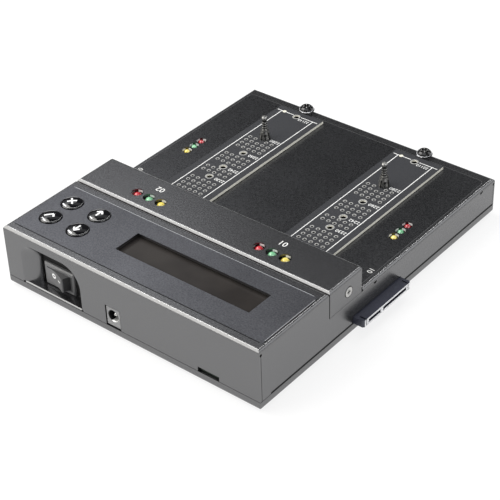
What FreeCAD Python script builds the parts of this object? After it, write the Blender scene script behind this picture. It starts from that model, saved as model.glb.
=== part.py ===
import FreeCAD, Part
import math
import os

os.makedirs("parts", exist_ok=True)

Vec = FreeCAD.Vector
X_AXIS = Vec(1, 0, 0)
Y_AXIS = Vec(0, 1, 0)
Z_AXIS = Vec(0, 0, 1)

# A stand-alone drive duplicator. Millimetres. +Z is up, the feet stand on z = 0 and the origin
# is the middle of the footprint. The user sits at -Y, the power wall faces +Y, the source drive
# plugs in on the -X side and the target drive on the +X side.

# ---------------------------------------------------------------- driving sizes: casing
SHEET = 1.2                    # cover and bridge sheet metal
TRAY_SHEET = 1.2
BEND_RADIUS = 1.9              # outside radius of every bend
FOOT_PROUD = 1.0
FOOT_DIAMETER = 12.0
FOOT_INSET = 14.0
TRAY_WALL = 4.9                # height of the tray's upturned rim
PLATFORM_HEIGHT = 22.3         # open deck, above the tray's underside
STEP_HEIGHT = 14.3             # control panel and bridge, above the deck
CONTROL_DEPTH = 54.8           # raised control section, measured from the power wall
BRIDGE_DEPTH = 28.1
BRIDGE_GAP = 0.6               # between the bridge and the control section
BRIDGE_CORNER_RADIUS = 1.7
SEAM = 0.3                     # open line between cover and tray
SIDE_SLOT = 1.0                # taller vent line along both sides
SIDE_SLOT_END = 8.1            # where that line stops, from the power wall
SIDE_SLOT_FRONT = 0.9
CORNER_SLIT = 0.3
CORNER_RELIEF = 1.6
BEND_RELIEF_LENGTH = 1.6
BEND_RELIEF_HEIGHT = 0.9
BEND_RELIEF_REAR = 10.8        # relief under the deck's long bend, from the bridge's open side
BEND_RELIEF_FRONT = 14.5       # the other one, from the front wall

# ---------------------------------------------------------------- driving sizes: M.2 deck
M2_LENGTHS = (30.0, 42.0, 60.0, 80.0, 110.0)   # card lengths the hold-down holes serve
M2_POST_HOLE = 3               # the hole that carries the post, counted from 0
M2_SPACING = 83.7              # between the two boards' centre lines
M2_BOARD_WIDTH = 31.7
M2_BOARD_THICK = 1.6
M2_PAD_THICK = 0.4
M2_PAD_INSET = 1.6
M2_DATUM_SETBACK = 1.3         # seated card edge, from the bridge's open side
M2_BOARD_END = 5.3             # board beyond the last hole
M2_BOARD_TAIL = 12.4           # board behind the card datum
M2_HOLE = 3.5
M2_TOOLING_HOLE = 2.0
M2_TOOLING_OFFSET = 9.6
M2_TOOLING_SETBACK = 1.3
END_SCREW_SETBACK = 4.7       # clamp screw, from the board's end
END_SCREW_MARGIN = 4.8         # clamp screw, from the front wall
END_SCREW_FLANGE = 9.4
END_SCREW_SHOULDER = 6.0
END_POST = 5.6
END_SCREW_HEAD = 8.2
END_SCREW_SHANK = 4.0
END_SCREW_REACH = 10.0         # shank below the deck's surface
END_SCREW_RIM = 0.8
END_SCREW_CROWN = 2.1
SOCKET_WIDTH = 22.0
SOCKET_DEPTH = 9.0
SOCKET_HEIGHT = 4.2
SOCKET_ENGAGE = 3.7            # how far a card goes in
SOCKET_SLOT_WIDTH = 20.2
SOCKET_SLOT_HEIGHT = 1.3
SOCKET_KEY = 1.2
SOCKET_KEY_OFFSET = 6.1
MOUTH_MARGIN = 1.2             # bridge opening beyond each side of the board
BRIDGE_LIP = 2.6               # bridge sheet left above that opening

# ---------------------------------------------------------------- driving sizes: hold-down posts
COLLET_HEIGHT = 6.4
COLLET_BASE = 6.4
COLLET_TOP = 4.7
COLLET_NECK = 3.4
COLLET_SLOT = 0.8
COLLET_FLOOR = 0.1
COLLET_SLOT_TOP = 4.6          # split height above the board
PIN_DIAMETER = 3.2
PIN_CLEARANCE = 0.06
PIN_CAP = 3.3
PIN_TOP = 15.0                 # above the board, pulled up
PIN_TRAVEL = 2.8
PIN_GROOVE = 0.25
PIN_GROOVE_PITCH = 1.5
PIN_GROOVE_COUNT = 4

# ---------------------------------------------------------------- driving sizes: lamps
BRIDGE_LED = 5.0
DECK_LED = 3.6
LED_FLANGE = 0.4               # flange beyond the body all round
LED_FLANGE_THICK = 1.0
LED_LENGTH = 8.6
LED_BELOW_BRIDGE = 0.2         # dome top under the bridge's surface
LED_ABOVE_DECK = 0.3
BRIDGE_LED_HOLE = 6.7
BRIDGE_LED_PITCH = 8.4
BRIDGE_LED_SETBACK = 10.2      # from the bridge's edge beside the control section
DECK_LED_HOLE = 5.8
DECK_LED_PITCH = 6.4
DECK_LED_INSET = 13.6          # from the side wall
DECK_LED_SETBACK = 53.4        # middle lamp, from the bridge's open side
LED_BOARD_THICK = 1.2
LED_BOARD_WIDTH = 8.0
LED_BOARD_MARGIN = 7.0         # board beyond the outer lamps
LED_SPACER_MARGIN = 2.5
LED_SPACER = 3.0
LED_LEAD_WIDTH = 5.0
LED_LEAD_THICK = 0.6

# ---------------------------------------------------------------- driving sizes: control panel
OVERLAY_THICK = 0.25
OVERLAY_SIDE_MARGIN = 2.45
OVERLAY_POWER_MARGIN = 5.7
OVERLAY_STEP_MARGIN = 5.7
PANEL_ROW = 28.6               # middle of keys and display, from the power wall
KEYPAD_INSET = 24.9            # keypad middle, from the +X side
KEYPAD_TO_DISPLAY = 37.1       # keypad middle to the display window's edge
KEY_PITCH_X = 19.8
KEY_PITCH_Y = 16.2
KEY_DIAMETER = 12.3
KEY_CLEARANCE = 0.3
KEY_FLANGE = 14.6
KEY_FLANGE_THICK = 1.0
KEY_PROUD = 0.7                # straight side above the overlay
KEY_DOME = 0.9
KEY_EDGE = 0.35
KEY_STEM = 4.6
KEY_TRAVEL = 0.5
KEY_REST_GAP = 0.1
KEYPAD_DROP = 9.0              # keypad board under the panel
SWITCH_SIZE = 6.2
SWITCH_HEIGHT = 3.5
ACTUATOR = 3.4
ACTUATOR_PROUD = 1.5
ACTUATOR_CLEARANCE = 0.3
KEYPAD_BOARD_MARGIN_X = 9.4
KEYPAD_BOARD_MARGIN_Y = 7.6
PANEL_SPACER = 4.0
LCD_WINDOW_X = 87.5
LCD_WINDOW_Y = 17.3
LCD_INSET = 22.0               # window edge, from the -X side
LCD_GLASS_DROP = 2.35          # glass under the panel's surface
LCD_GLASS_THICK = 2.0
LCD_GLASS_MARGIN = 1.2
LCD_FRAME_MARGIN_X = 4.2
LCD_FRAME_MARGIN_Y = 6.0
LCD_FRAME_SHEET = 0.5
LCD_BOARD_DROP = 6.5           # display board under the panel sheet
LCD_BOARD_MARGIN_X = 5.0
LCD_BOARD_MARGIN_Y = 11.0

# ---------------------------------------------------------------- driving sizes: power wall
SCOOP_INSET = 32.75            # middle of the switch scoop, from the +X side
SCOOP_FINGER_SIDE = 21.2       # mouth's soft +X side, from the middle of the switch
SCOOP_FINGER_RUN = 8.7         # how far that side slopes in
SCOOP_FINGER_CORNER = 9.0
SCOOP_STEEP_SIDE = 21.3        # mouth's steep -X side, from the middle of the switch
SCOOP_STEEP_RUN = 1.8
SCOOP_STEEP_CORNER = 12.4
SCOOP_MOUTH_TOP = 30.9         # above the tray's underside
SCOOP_TOP_RUN = 2.4
SCOOP_DEPTH = 7.4
SCOOP_CURVE = ((0.0, 0.0), (0.12, 0.26), (0.45, 0.74), (1.0, 1.0))   # shares of depth and of run
SCOOP_CORNER_SHARE = 0.35      # how much smaller the corners are at the back
SCOOP_SILL = 0.9               # flange folded in under the scoop
SCOOP_SILL_ROUND = 0.8
SCOOP_RELIEF = 1.5             # round relief at both ends of the sill
SCOOP_RELIEF_RISE = 0.3
BEZEL_WIDTH = 21.2
BEZEL_HEIGHT = 13.8
BEZEL_THICK = 1.8
BEZEL_MIDDLE = 13.1            # above the tray's underside
BEZEL_CHAMFER = 0.7
HOUSING_WIDTH = 19.2
HOUSING_HEIGHT = 12.6
HOUSING_DEPTH = 15.0
ROCKER_OPENING_WIDTH = 17.0
ROCKER_OPENING_HEIGHT = 9.4
ROCKER_CAVITY = 12.4
ROCKER_TILT = 14.0             # degrees each side of level
ROCKER_END = 6.95              # half length at the face
ROCKER_CREST = 2.2             # face ends above the bezel when level
ROCKER_HOLLOW = 0.9            # how far the face dishes between its ends
ROCKER_PIVOT = 3.5             # pivot below the bezel's face
ROCKER_SIDE_GAP = 0.3
ROCKER_SHOULDER = 8.0
ROCKER_BELLY = 3.0
ROCKER_BELLY_HALF = 5.0
AXLE_DIAMETER = 2.4
AXLE_LENGTH = 1.1
AXLE_CLEARANCE = 0.08
TERMINAL_WIDTH = 4.8
TERMINAL_THICK = 0.8
TERMINAL_LENGTH = 8.0
TERMINAL_PITCH = 9.0
JACK_X = 9.05
JACK_WIDTH = 9.0
JACK_HEIGHT = 11.1
JACK_DEPTH = 14.4
JACK_BARREL = 6.4
JACK_BARREL_HEIGHT = 6.4       # barrel axis above the jack's base
JACK_BARREL_DEPTH = 10.0
JACK_MOUTH = 7.2
JACK_PIN = 2.0
JACK_PIN_SETBACK = 1.2
CARD_INSET = 32.3              # middle of the card slot, from the -X side
CARD_OPENING = 13.6
CARD_WIDTH = 14.0
CARD_DEPTH = 15.0
CARD_HEIGHT = 1.6
CARD_SLOT_WIDTH = 11.4
CARD_SLOT_HEIGHT = 0.9
CARD_FLOOR = 0.4
CARD_SETBACK = 0.2
CARD_SLOT_DEPTH = 12.0
CUTOUT_GAP = 0.2               # round whatever shows through the power wall
JACK_SLACK = 0.8               # wider gap on the jack's +X side

# ---------------------------------------------------------------- driving sizes: SATA receptacles
SATA_SETBACK = 12.8            # connector middle, from the bridge's open side towards the deck
SATA_PROUD = 6.5
SATA_HEIGHT = 4.2
SATA_RISE = 1.4                # body above the main board, on its rear foot
SATA_END_WALL = 1.6            # body beyond the outermost slot ends
SATA_ARM_GAP = 0.9
SATA_ARM = 1.8
SATA_TAIL = 10.5               # body behind the side wall's face
SATA_SHOULDER = 2.4            # where the arms join, outside the wall
SATA_MOUTH_DEPTH = 7.0
SATA_SLOT_MARGIN = 1.53        # slot width beyond its row of contacts
SATA_KEY_WALL = 2.4
SATA_SLOT_HEIGHT = 1.9
SATA_SLOT_KEY = 0.8
SATA_PIN_PITCH = 1.27
SATA_SIGNAL_PIN_COUNT = 7
SATA_POWER_PIN_COUNT = 15
SATA_PIN_WIDTH = 0.7
SATA_PIN_THICK = 0.35
SATA_PIN_LENGTH = 6.2
SATA_WALL_GAP = 0.4

# ---------------------------------------------------------------- driving sizes: inside
BOARD_THICK = 1.6
MAIN_SPACER = 1.2              # main board above the tray floor
POWER_SPACER = 3.6
MAIN_BOARD_SIDE_GAP = 0.6
MAIN_BOARD_FRONT = 43.3        # main board's edge, from the bridge's open side towards the deck
MAIN_BOARD_STEP_GAP = 2.0
POWER_BOARD_FRONT = 25.0       # power board's edge, from the power wall
POWER_BOARD_GAP = 0.5
POWER_BOARD_SIDE = 14.0        # power board beyond jack and card slot
STANDOFF_DIAMETER = 7.0
STANDOFF_INSET = 7.5
STANDOFF_STEP_GAP = 5.5
STANDOFF_FRONT = 8.8
SPACER_DIAMETER = 5.0
SCREW_SHANK = 3.0
RECESS_SPAN = 1.1              # cross recess, as a share of the head radius
RECESS_SLOT = 0.26             # its slots, as a share of that span
RECESS_DEPTH = 0.75            # as a share of the head's height
SCREW_CLEARANCE = 0.1
SCREW_LENGTH = 6.0
SINK_LIP = 0.6                 # dished ring round each countersunk head
SINK_LIP_DEPTH = 0.3
BRIDGE_SCREW_RISE = 5.6        # above the deck
BRIDGE_SCREW_SETBACK = 12.3    # from the bridge's open side
BRIDGE_EAR = 2.0
BRIDGE_EAR_WIDTH = 12.0
BRIDGE_EAR_HEIGHT = 9.5
BRIDGE_EAR_GAP = 0.15
BRIDGE_FLANGE_DROP = 1.0       # bridge sides reach below the deck's surface
BOARD_SCREW_HEAD = 5.4
BOARD_SCREW_RISE = 1.8
BOARD_SCREW_INSET = 6.0
RIBBON_THICK = 0.6
RIBBON_WIDTH = 16.0
LEAD_DIAMETER = 1.8
LEAD_RUN = 6.0                 # first lead's turn, from the blades' ends
LEAD_PITCH = 6.0
LEAD_LANDING = 9.0             # first lead's landing, from the power board's edge
LEAD_LANDING_PITCH = 4.0
LINK_LENGTH = 24.0
LINK_DEPTH = 5.0
LINK_CLEARANCE = 0.6
LINK_SETBACK = 8.6             # link header behind the card datum
CHIP_SIZE = 22.0
CHIP_SPREAD = 0.9              # distance between chips, as a share of the large one
CHIP_THICK = 1.6
CAPACITOR_DIAMETER = 6.3
CAPACITOR_COUNT = 3
CAPACITOR_HEIGHT = 9.0
CAPACITOR_PITCH = 8.2
CAPACITOR_SETBACK = 10.0       # from the power board's front edge

# ---------------------------------------------------------------- where everything lies
Z_TRAY = FOOT_PROUD
Z_FLOOR = Z_TRAY + TRAY_SHEET
Z_RIM = Z_TRAY + TRAY_WALL
Z_COVER = Z_RIM + SEAM
Z_DECK = Z_TRAY + PLATFORM_HEIGHT
Z_TOP = Z_DECK + STEP_HEIGHT
WIDTH = KEYPAD_INSET + KEYPAD_TO_DISPLAY + LCD_WINDOW_X + LCD_INSET
SIDE = WIDTH / 2
DECK_DEPTH = END_SCREW_MARGIN + END_SCREW_SETBACK + M2_BOARD_END + max(M2_LENGTHS) + M2_DATUM_SETBACK
DEPTH = DECK_DEPTH + BRIDGE_DEPTH + BRIDGE_GAP + CONTROL_DEPTH
Y_POWER = DEPTH / 2
Y_FRONT = -DEPTH / 2
Y_STEP = Y_POWER - CONTROL_DEPTH
Y_BRIDGE_BACK = Y_STEP - BRIDGE_GAP
Y_BRIDGE_OPEN = Y_BRIDGE_BACK - BRIDGE_DEPTH
Y_DATUM = Y_BRIDGE_OPEN - M2_DATUM_SETBACK
Y_BOARD_END = Y_DATUM - max(M2_LENGTHS) - M2_BOARD_END
Y_END_SCREW = Y_BOARD_END - END_SCREW_SETBACK
Y_PANEL_ROW = Y_POWER - PANEL_ROW
Z_PAD = Z_DECK
Z_M2_BOARD = Z_DECK + M2_PAD_THICK
Z_M2_TOP = Z_M2_BOARD + M2_BOARD_THICK
Z_MAIN = Z_FLOOR + MAIN_SPACER
Z_MAIN_TOP = Z_MAIN + BOARD_THICK
Z_POWER = Z_FLOOR + POWER_SPACER
Z_POWER_TOP = Z_POWER + BOARD_THICK
Y_SATA = Y_BRIDGE_OPEN - SATA_SETBACK
Z_SATA = Z_MAIN_TOP + SATA_RISE
SATA_SIGNAL_SLOT = SATA_SIGNAL_PIN_COUNT * SATA_PIN_PITCH + SATA_SLOT_MARGIN
SATA_POWER_SLOT = SATA_POWER_PIN_COUNT * SATA_PIN_PITCH + SATA_SLOT_MARGIN
SATA_SLOT_SPAN = SATA_SIGNAL_SLOT + SATA_KEY_WALL + SATA_POWER_SLOT
SATA_BODY_WIDTH = SATA_SLOT_SPAN + 2 * SATA_END_WALL
SATA_WIDTH = SATA_BODY_WIDTH + 2 * (SATA_ARM_GAP + SATA_ARM)
X_KEYPAD = SIDE - KEYPAD_INSET
X_LCD = -SIDE + LCD_INSET + LCD_WINDOW_X / 2
X_SCOOP = SIDE - SCOOP_INSET
X_CARD = -SIDE + CARD_INSET
Z_BEZEL = Z_TRAY + BEZEL_MIDDLE
Y_SCOOP = Y_POWER - SCOOP_DEPTH
Y_BEZEL = Y_SCOOP + BEZEL_THICK
CUT = 5.0                      # how far a cutting tool runs past the face it opens
SIDES = {"source": -1, "target": 1}


# ---------------------------------------------------------------- shape helpers
def box(x0, x1, y0, y1, z0, z1):
    return Part.makeBox(x1 - x0, y1 - y0, z1 - z0, Vec(x0, y0, z0))


def centred_box(cx, cy, width, depth, z0, z1):
    return box(cx - width / 2, cx + width / 2, cy - depth / 2, cy + depth / 2, z0, z1)


def rod(cx, cy, z0, z1, diameter):
    return Part.makeCylinder(diameter / 2, z1 - z0, Vec(cx, cy, z0))


def cut_all(shape, tools):
    return shape.cut(Part.makeCompound(tools)) if tools else shape


def post(cx, cy, z0, z1, across):
    return centred_box(cx, cy, across, across, z0, z1)


def prism(corners, direction):
    loop = Part.makePolygon(corners + [corners[0]])
    return Part.Face(loop).extrude(direction)


def revolved(profile):
    """A turned piece about Z from (radius, height) points that start and end on the axis."""
    loop = Part.makePolygon([Vec(r, 0, z) for r, z in profile] + [Vec(profile[0][0], 0, profile[0][1])])
    return Part.Face(loop).revolve(Vec(0, 0, 0), Z_AXIS, 360)


def moved(shape, x, y, z):
    copy = shape.copy()
    copy.translate(Vec(x, y, z))
    return copy


def save(node, *solids):
    shape = solids[0] if len(solids) == 1 else Part.makeCompound(list(solids))
    shape.exportStep("parts/" + node + ".step")


def round_topped(half, z0, z1, radius, at_low, at_high):
    """Wire points of a section that is square at z0, with a bend at the low and/or high end of z1."""
    low, high = half
    points = [Vec(low, 0, z0), Vec(high, 0, z0)]
    edges = [Part.makeLine(points[0], points[1])]
    lean = radius * (1 - math.sqrt(0.5))
    if at_high:
        top = Vec(high - radius, 0, z1)
        edges.append(Part.makeLine(points[1], Vec(high, 0, z1 - radius)))
        edges.append(Part.Arc(Vec(high, 0, z1 - radius), Vec(high - lean, 0, z1 - lean), top).toShape())
    else:
        top = Vec(high, 0, z1)
        edges.append(Part.makeLine(points[1], top))
    if at_low:
        side = Vec(low, 0, z1 - radius)
        edges.append(Part.makeLine(top, Vec(low + radius, 0, z1)))
        edges.append(Part.Arc(Vec(low + radius, 0, z1), Vec(low + lean, 0, z1 - lean), side).toShape())
    else:
        side = Vec(low, 0, z1)
        edges.append(Part.makeLine(top, side))
    edges.append(Part.makeLine(side, points[0]))
    return Part.Wire(edges)


def folded_block(x0, x1, y0, y1, z0, z1, radius, bend_low_y, bend_high_y):
    """The outside of a folded lid: bends along both long sides and, where asked, along its ends."""
    across = Part.Face(round_topped((x0, x1), z0, z1, radius, True, True))
    across = across.extrude(Vec(0, y1 - y0, 0))
    across.translate(Vec(0, y0, 0))
    along = Part.Face(round_topped((y0, y1), z0, z1, radius, bend_low_y, bend_high_y))
    along.rotate(Vec(0, 0, 0), Z_AXIS, 90)
    along = along.extrude(Vec(x1 - x0, 0, 0))
    along.translate(Vec(x0, 0, 0))
    return across.common(along)


def flat_screw(length):
    """Countersunk screw pointing down, its flat top at z = 0 and its cone as deep as the sheet."""
    shank = SCREW_SHANK / 2
    taper = min(SHEET, TRAY_SHEET)
    head = shank + taper
    body = revolved([(0, 0), (head, 0), (shank, -taper), (shank, -length), (0, -length)])
    return body.cut(cross_recess(head * RECESS_SPAN, taper * RECESS_DEPTH))


def cross_recess(span, depth):
    slot = span * RECESS_SLOT
    one = box(-span / 2, span / 2, -slot / 2, slot / 2, -depth, CUT)
    other = box(-slot / 2, slot / 2, -span / 2, span / 2, -depth, CUT)
    return one.fuse(other)


def flat_sink():
    """The hole that takes a countersunk screw, with its clearance, opening upwards at z = 0."""
    hole = SCREW_SHANK / 2 + SCREW_CLEARANCE
    taper = min(SHEET, TRAY_SHEET)
    mouth = hole + taper
    lip = mouth + SINK_LIP
    return revolved([(0, CUT), (lip, CUT), (lip, 0), (mouth - SINK_LIP_DEPTH, -SINK_LIP_DEPTH),
                     (hole, -taper), (hole, -CUT), (0, -CUT)])


def lead(points, diameter):
    """A wire of straight runs with mitred corners."""
    path = Part.Wire(Part.makePolygon(points))
    ring = Part.makeCircle(diameter / 2, points[0], points[1] - points[0])
    return path.makePipeShell([Part.Wire(ring)], True, False, 1)


def hex_tube(x, y, z0, z1, across, bore):
    """Hexagonal spacer with a round bore."""
    corner = across / math.sqrt(3)
    turns = [math.radians(60 * step) for step in range(6)]
    outline = [Vec(x + corner * math.cos(turn), y + corner * math.sin(turn), z0) for turn in turns]
    return prism(outline, Vec(0, 0, z1 - z0)).cut(rod(x, y, z0 - CUT, z1 + CUT, bore))


def strip(points, thickness, x0, x1):
    """A flat ribbon across X whose side view follows (y, z) points."""
    outline = []
    back = []
    for index, (y, z) in enumerate(points):
        near = points[max(index - 1, 0)]
        far = points[min(index + 1, len(points) - 1)]
        run = math.hypot(far[0] - near[0], far[1] - near[1])
        side_y = -(far[1] - near[1]) / run * thickness / 2
        side_z = (far[0] - near[0]) / run * thickness / 2
        if index in (0, len(points) - 1):
            side_z = 0
            side_y = math.copysign(thickness / 2, side_y)
        outline.append(Vec(x0, y + side_y, z + side_z))
        back.append(Vec(x0, y - side_y, z - side_z))
    return prism(outline + back[::-1], Vec(x1 - x0, 0, 0))


# ---------------------------------------------------------------- places that several pieces share
def m2_x(sign):
    return sign * M2_SPACING / 2


def hole_y(length):
    return Y_DATUM - length


def key_places():
    x = KEY_PITCH_X / 2
    y = KEY_PITCH_Y / 2
    return {
        "down_button": (X_KEYPAD - x, Y_PANEL_ROW - y),
        "up_button": (X_KEYPAD - x, Y_PANEL_ROW + y),
        "cancel_button": (X_KEYPAD + x, Y_PANEL_ROW - y),
        "confirm_button": (X_KEYPAD + x, Y_PANEL_ROW + y),
    }


def bridge_led_places():
    y = Y_BRIDGE_BACK - BRIDGE_LED_SETBACK
    return {(sign, step): (m2_x(sign) - step * BRIDGE_LED_PITCH, y)
            for sign in SIDES.values() for step in (-1, 0, 1)}


def deck_led_places():
    y = Y_BRIDGE_OPEN - DECK_LED_SETBACK
    return {(sign, step): (sign * (SIDE - DECK_LED_INSET), y + step * DECK_LED_PITCH)
            for sign in SIDES.values() for step in (-1, 0, 1)}


def standoff_places():
    x = SIDE - STANDOFF_INSET
    rear = Y_STEP + STANDOFF_STEP_GAP
    front = Y_FRONT + STANDOFF_FRONT
    return [(-x, front, Z_DECK), (x, front, Z_DECK), (-x, rear, Z_TOP), (x, rear, Z_TOP)]


def main_board_edges():
    x = SIDE - SHEET - MAIN_BOARD_SIDE_GAP
    return -x, x, Y_BRIDGE_OPEN - MAIN_BOARD_FRONT, Y_STEP - MAIN_BOARD_STEP_GAP


def power_board_edges():
    return (X_CARD - POWER_BOARD_SIDE, JACK_X + POWER_BOARD_SIDE,
            Y_POWER - POWER_BOARD_FRONT, Y_POWER - SHEET - POWER_BOARD_GAP)


def corner_places(edges, inset):
    x0, x1, y0, y1 = edges
    return [(x, y) for x in (x0 + inset, x1 - inset) for y in (y0 + inset, y1 - inset)]


def main_board_places():
    x0, x1, y0, y1 = main_board_edges()
    middle = [(0, y) for y in (y0 + BOARD_SCREW_INSET, y1 - BOARD_SCREW_INSET)]
    return corner_places((x0, x1, y0, y1), BOARD_SCREW_INSET) + middle


def power_board_places():
    x0, x1, y0, y1 = power_board_edges()
    inset = BOARD_SCREW_HEAD / 2 + SEAM
    return corner_places((x0, x1, y0, y1), inset)


# ---------------------------------------------------------------- tray, feet and their screws
def base_tray():
    outer = box(-SIDE, SIDE, Y_FRONT, Y_POWER, Z_TRAY, Z_RIM)
    lower = [edge for edge in outer.Edges
             if abs(edge.CenterOfMass.z - Z_TRAY) < SEAM]
    outer = outer.makeFillet(BEND_RADIUS, lower)
    inner = box(-SIDE + TRAY_SHEET, SIDE - TRAY_SHEET, Y_FRONT + TRAY_SHEET, Y_POWER - TRAY_SHEET,
                Z_FLOOR, Z_RIM + CUT)
    lower = [edge for edge in inner.Edges
             if abs(edge.CenterOfMass.z - Z_FLOOR) < SEAM]
    inner = inner.makeFillet(BEND_RADIUS - TRAY_SHEET, lower)
    tray = outer.cut(inner)
    tools = []
    for sign in SIDES.values():
        half = SATA_WIDTH / 2 + SATA_WALL_GAP
        wall = sign * (SIDE - TRAY_SHEET / 2)
        tools.append(centred_box(wall, Y_SATA, TRAY_SHEET * 3, 2 * half,
                                 Z_SATA - SATA_WALL_GAP, Z_RIM + CUT))
    for x, y, _ in standoff_places():
        tools.append(sunk_below(flat_sink(), x, y, Z_TRAY))
    return cut_all(tray, tools)


def sunk_below(shape, x, y, z):
    """Turn a downward piece over so that it enters from underneath."""
    turned = shape.copy()
    turned.rotate(Vec(0, 0, 0), X_AXIS, 180)
    return moved(turned, x, y, z)


def rubber_feet():
    edge = FOOT_PROUD * 0.3
    radius = FOOT_DIAMETER / 2
    foot = revolved([(0, 0), (radius - edge, 0), (radius, edge), (radius, FOOT_PROUD), (0, FOOT_PROUD)])
    x = SIDE - FOOT_INSET
    y = Y_POWER - FOOT_INSET
    return [moved(foot, sx * x, sy * y, 0) for sx in (-1, 1) for sy in (-1, 1)]


def tray_screws():
    return [sunk_below(flat_screw(SCREW_LENGTH), x, y, Z_TRAY) for x, y, _ in standoff_places()]


def cover_standoffs():
    bore = SCREW_SHANK + 2 * SCREW_CLEARANCE
    posts = []
    for x, y, top in standoff_places():
        column = rod(x, y, Z_FLOOR, top - SHEET, STANDOFF_DIAMETER)
        posts.append(column.cut(rod(x, y, Z_FLOOR - CUT, Z_TRAY + SCREW_LENGTH + SEAM, bore)))
    return posts


# ---------------------------------------------------------------- the folded upper cover
def scoop_section(y, x0, x1, top, steep_corner, finger_corner, bottom):
    """Arch-topped section of the switch scoop at one depth."""
    steep_lean = steep_corner * (1 - math.sqrt(0.5))
    finger_lean = finger_corner * (1 - math.sqrt(0.5))
    finger_arc = Part.Arc(Vec(x1, y, top - finger_corner), Vec(x1 - finger_lean, y, top - finger_lean),
                          Vec(x1 - finger_corner, y, top))
    steep_arc = Part.Arc(Vec(x0 + steep_corner, y, top), Vec(x0 + steep_lean, y, top - steep_lean),
                         Vec(x0, y, top - steep_corner))
    return Part.Wire([
        Part.makeLine(Vec(x0, y, bottom), Vec(x1, y, bottom)),
        Part.makeLine(Vec(x1, y, bottom), Vec(x1, y, top - finger_corner)),
        finger_arc.toShape(),
        Part.makeLine(Vec(x1 - finger_corner, y, top), Vec(x0 + steep_corner, y, top)),
        steep_arc.toShape(),
        Part.makeLine(Vec(x0, y, top - steep_corner), Vec(x0, y, bottom)),
    ])


def scoop(offset, bottom, front):
    """The pressed-in hollow round the power switch, grown outwards by the sheet for its outside."""
    sections = []
    for depth, run in SCOOP_CURVE:
        x0 = X_SCOOP - SCOOP_STEEP_SIDE + SCOOP_STEEP_RUN * run - offset
        x1 = X_SCOOP + SCOOP_FINGER_SIDE - SCOOP_FINGER_RUN * run + offset
        top = Z_TRAY + SCOOP_MOUTH_TOP - SCOOP_TOP_RUN * run + offset
        shrink = 1 - SCOOP_CORNER_SHARE * run
        y = Y_POWER - depth * (SCOOP_DEPTH + offset)
        sections.append(scoop_section(y, x0, x1, top, SCOOP_STEEP_CORNER * shrink + offset,
                                      SCOOP_FINGER_CORNER * shrink + offset, bottom))
    hollow = Part.makeLoft(sections, True, False)
    if front > 0:
        face = Part.Face(sections[0])
        hollow = hollow.fuse(face.extrude(Vec(0, front, 0)))
    return hollow


def scoop_sill():
    """The flange folded in under the scoop, with its bend rounded over."""
    x0 = X_SCOOP - SCOOP_STEEP_SIDE
    x1 = X_SCOOP + SCOOP_FINGER_SIDE
    top = Z_COVER + SCOOP_SILL
    flange = box(x0, x1, Y_SCOOP, Y_POWER, Z_COVER, top).common(scoop(0, Z_COVER - CUT, 0))
    bend = [edge for edge in flange.Edges
            if abs(edge.CenterOfMass.y - Y_POWER) < SEAM and abs(edge.CenterOfMass.z - top) < SEAM]
    return flange.makeFillet(SCOOP_SILL_ROUND, bend)


def scoop_reliefs():
    tools = []
    for x in (X_SCOOP - SCOOP_STEEP_SIDE, X_SCOOP + SCOOP_FINGER_SIDE):
        tools.append(Part.makeCylinder(SCOOP_RELIEF / 2, 2 * SHEET, Vec(x, Y_POWER - SHEET - SEAM,
                                                                       Z_COVER + SCOOP_RELIEF_RISE), Y_AXIS))
    return tools


def cover_body(inset, bottom):
    """The cover's stepped outside, or its inside when inset by the sheet."""
    radius = BEND_RADIUS - inset
    control = folded_block(-SIDE + inset, SIDE - inset, Y_STEP + inset, Y_POWER - inset,
                           bottom, Z_TOP - inset, radius, True, True)
    deck = folded_block(-SIDE + inset, SIDE - inset, Y_FRONT + inset, Y_STEP + inset + BEND_RADIUS,
                        bottom, Z_DECK - inset, radius, True, False)
    return control.fuse(deck)


def panel_openings(z0, z1, grow):
    """Window and key holes through the control panel and everything laid on it."""
    tools = [centred_box(X_LCD, Y_PANEL_ROW, LCD_WINDOW_X + grow, LCD_WINDOW_Y + grow, z0, z1)]
    hole = KEY_DIAMETER + 2 * KEY_CLEARANCE + grow
    tools += [rod(x, y, z0, z1, hole) for x, y in key_places().values()]
    return tools


def corner_slits():
    """Each folded corner stays open, with a round relief where the bends meet."""
    tools = []
    for sign in SIDES.values():
        x0 = min(sign * (SIDE - SHEET - CUT / 10), sign * (SIDE + CUT))
        x1 = max(sign * (SIDE - SHEET - CUT / 10), sign * (SIDE + CUT))
        for wall, top in ((Y_POWER, Z_TOP), (Y_FRONT, Z_DECK)):
            inward = -1 if wall > 0 else 1
            edge = wall + inward * SHEET
            y0 = min(edge, edge + inward * CORNER_SLIT)
            y1 = max(edge, edge + inward * CORNER_SLIT)
            reach = top - BEND_RADIUS - SHEET
            tools.append(box(x0, x1, y0, y1, Z_COVER - CUT, reach))
            relief = Part.makeCylinder(CORNER_RELIEF / 2, x1 - x0, Vec(x0, (y0 + y1) / 2, reach), X_AXIS)
            tools.append(relief)
    return tools


def side_openings():
    """Vent line, connector openings and bend reliefs along both side walls."""
    tools = []
    line_top = Z_RIM + SIDE_SLOT
    relief_top = Z_DECK - BEND_RADIUS
    for sign in SIDES.values():
        middle = sign * SIDE
        y0 = Y_FRONT + SIDE_SLOT_FRONT
        y1 = Y_POWER - SIDE_SLOT_END
        tools.append(centred_box(middle, (y0 + y1) / 2, SHEET * 3, y1 - y0, Z_RIM - CUT, line_top))
        tools.append(centred_box(middle, Y_SATA, SHEET * 3, SATA_WIDTH + 2 * SATA_WALL_GAP,
                                 Z_RIM - CUT, Z_SATA + SATA_HEIGHT + SATA_WALL_GAP))
        for y in (Y_BRIDGE_OPEN - BEND_RELIEF_REAR, Y_FRONT + BEND_RELIEF_FRONT):
            tools.append(centred_box(middle, y, SHEET * 3, BEND_RELIEF_LENGTH,
                                     relief_top - BEND_RELIEF_HEIGHT, relief_top))
    return tools


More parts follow.
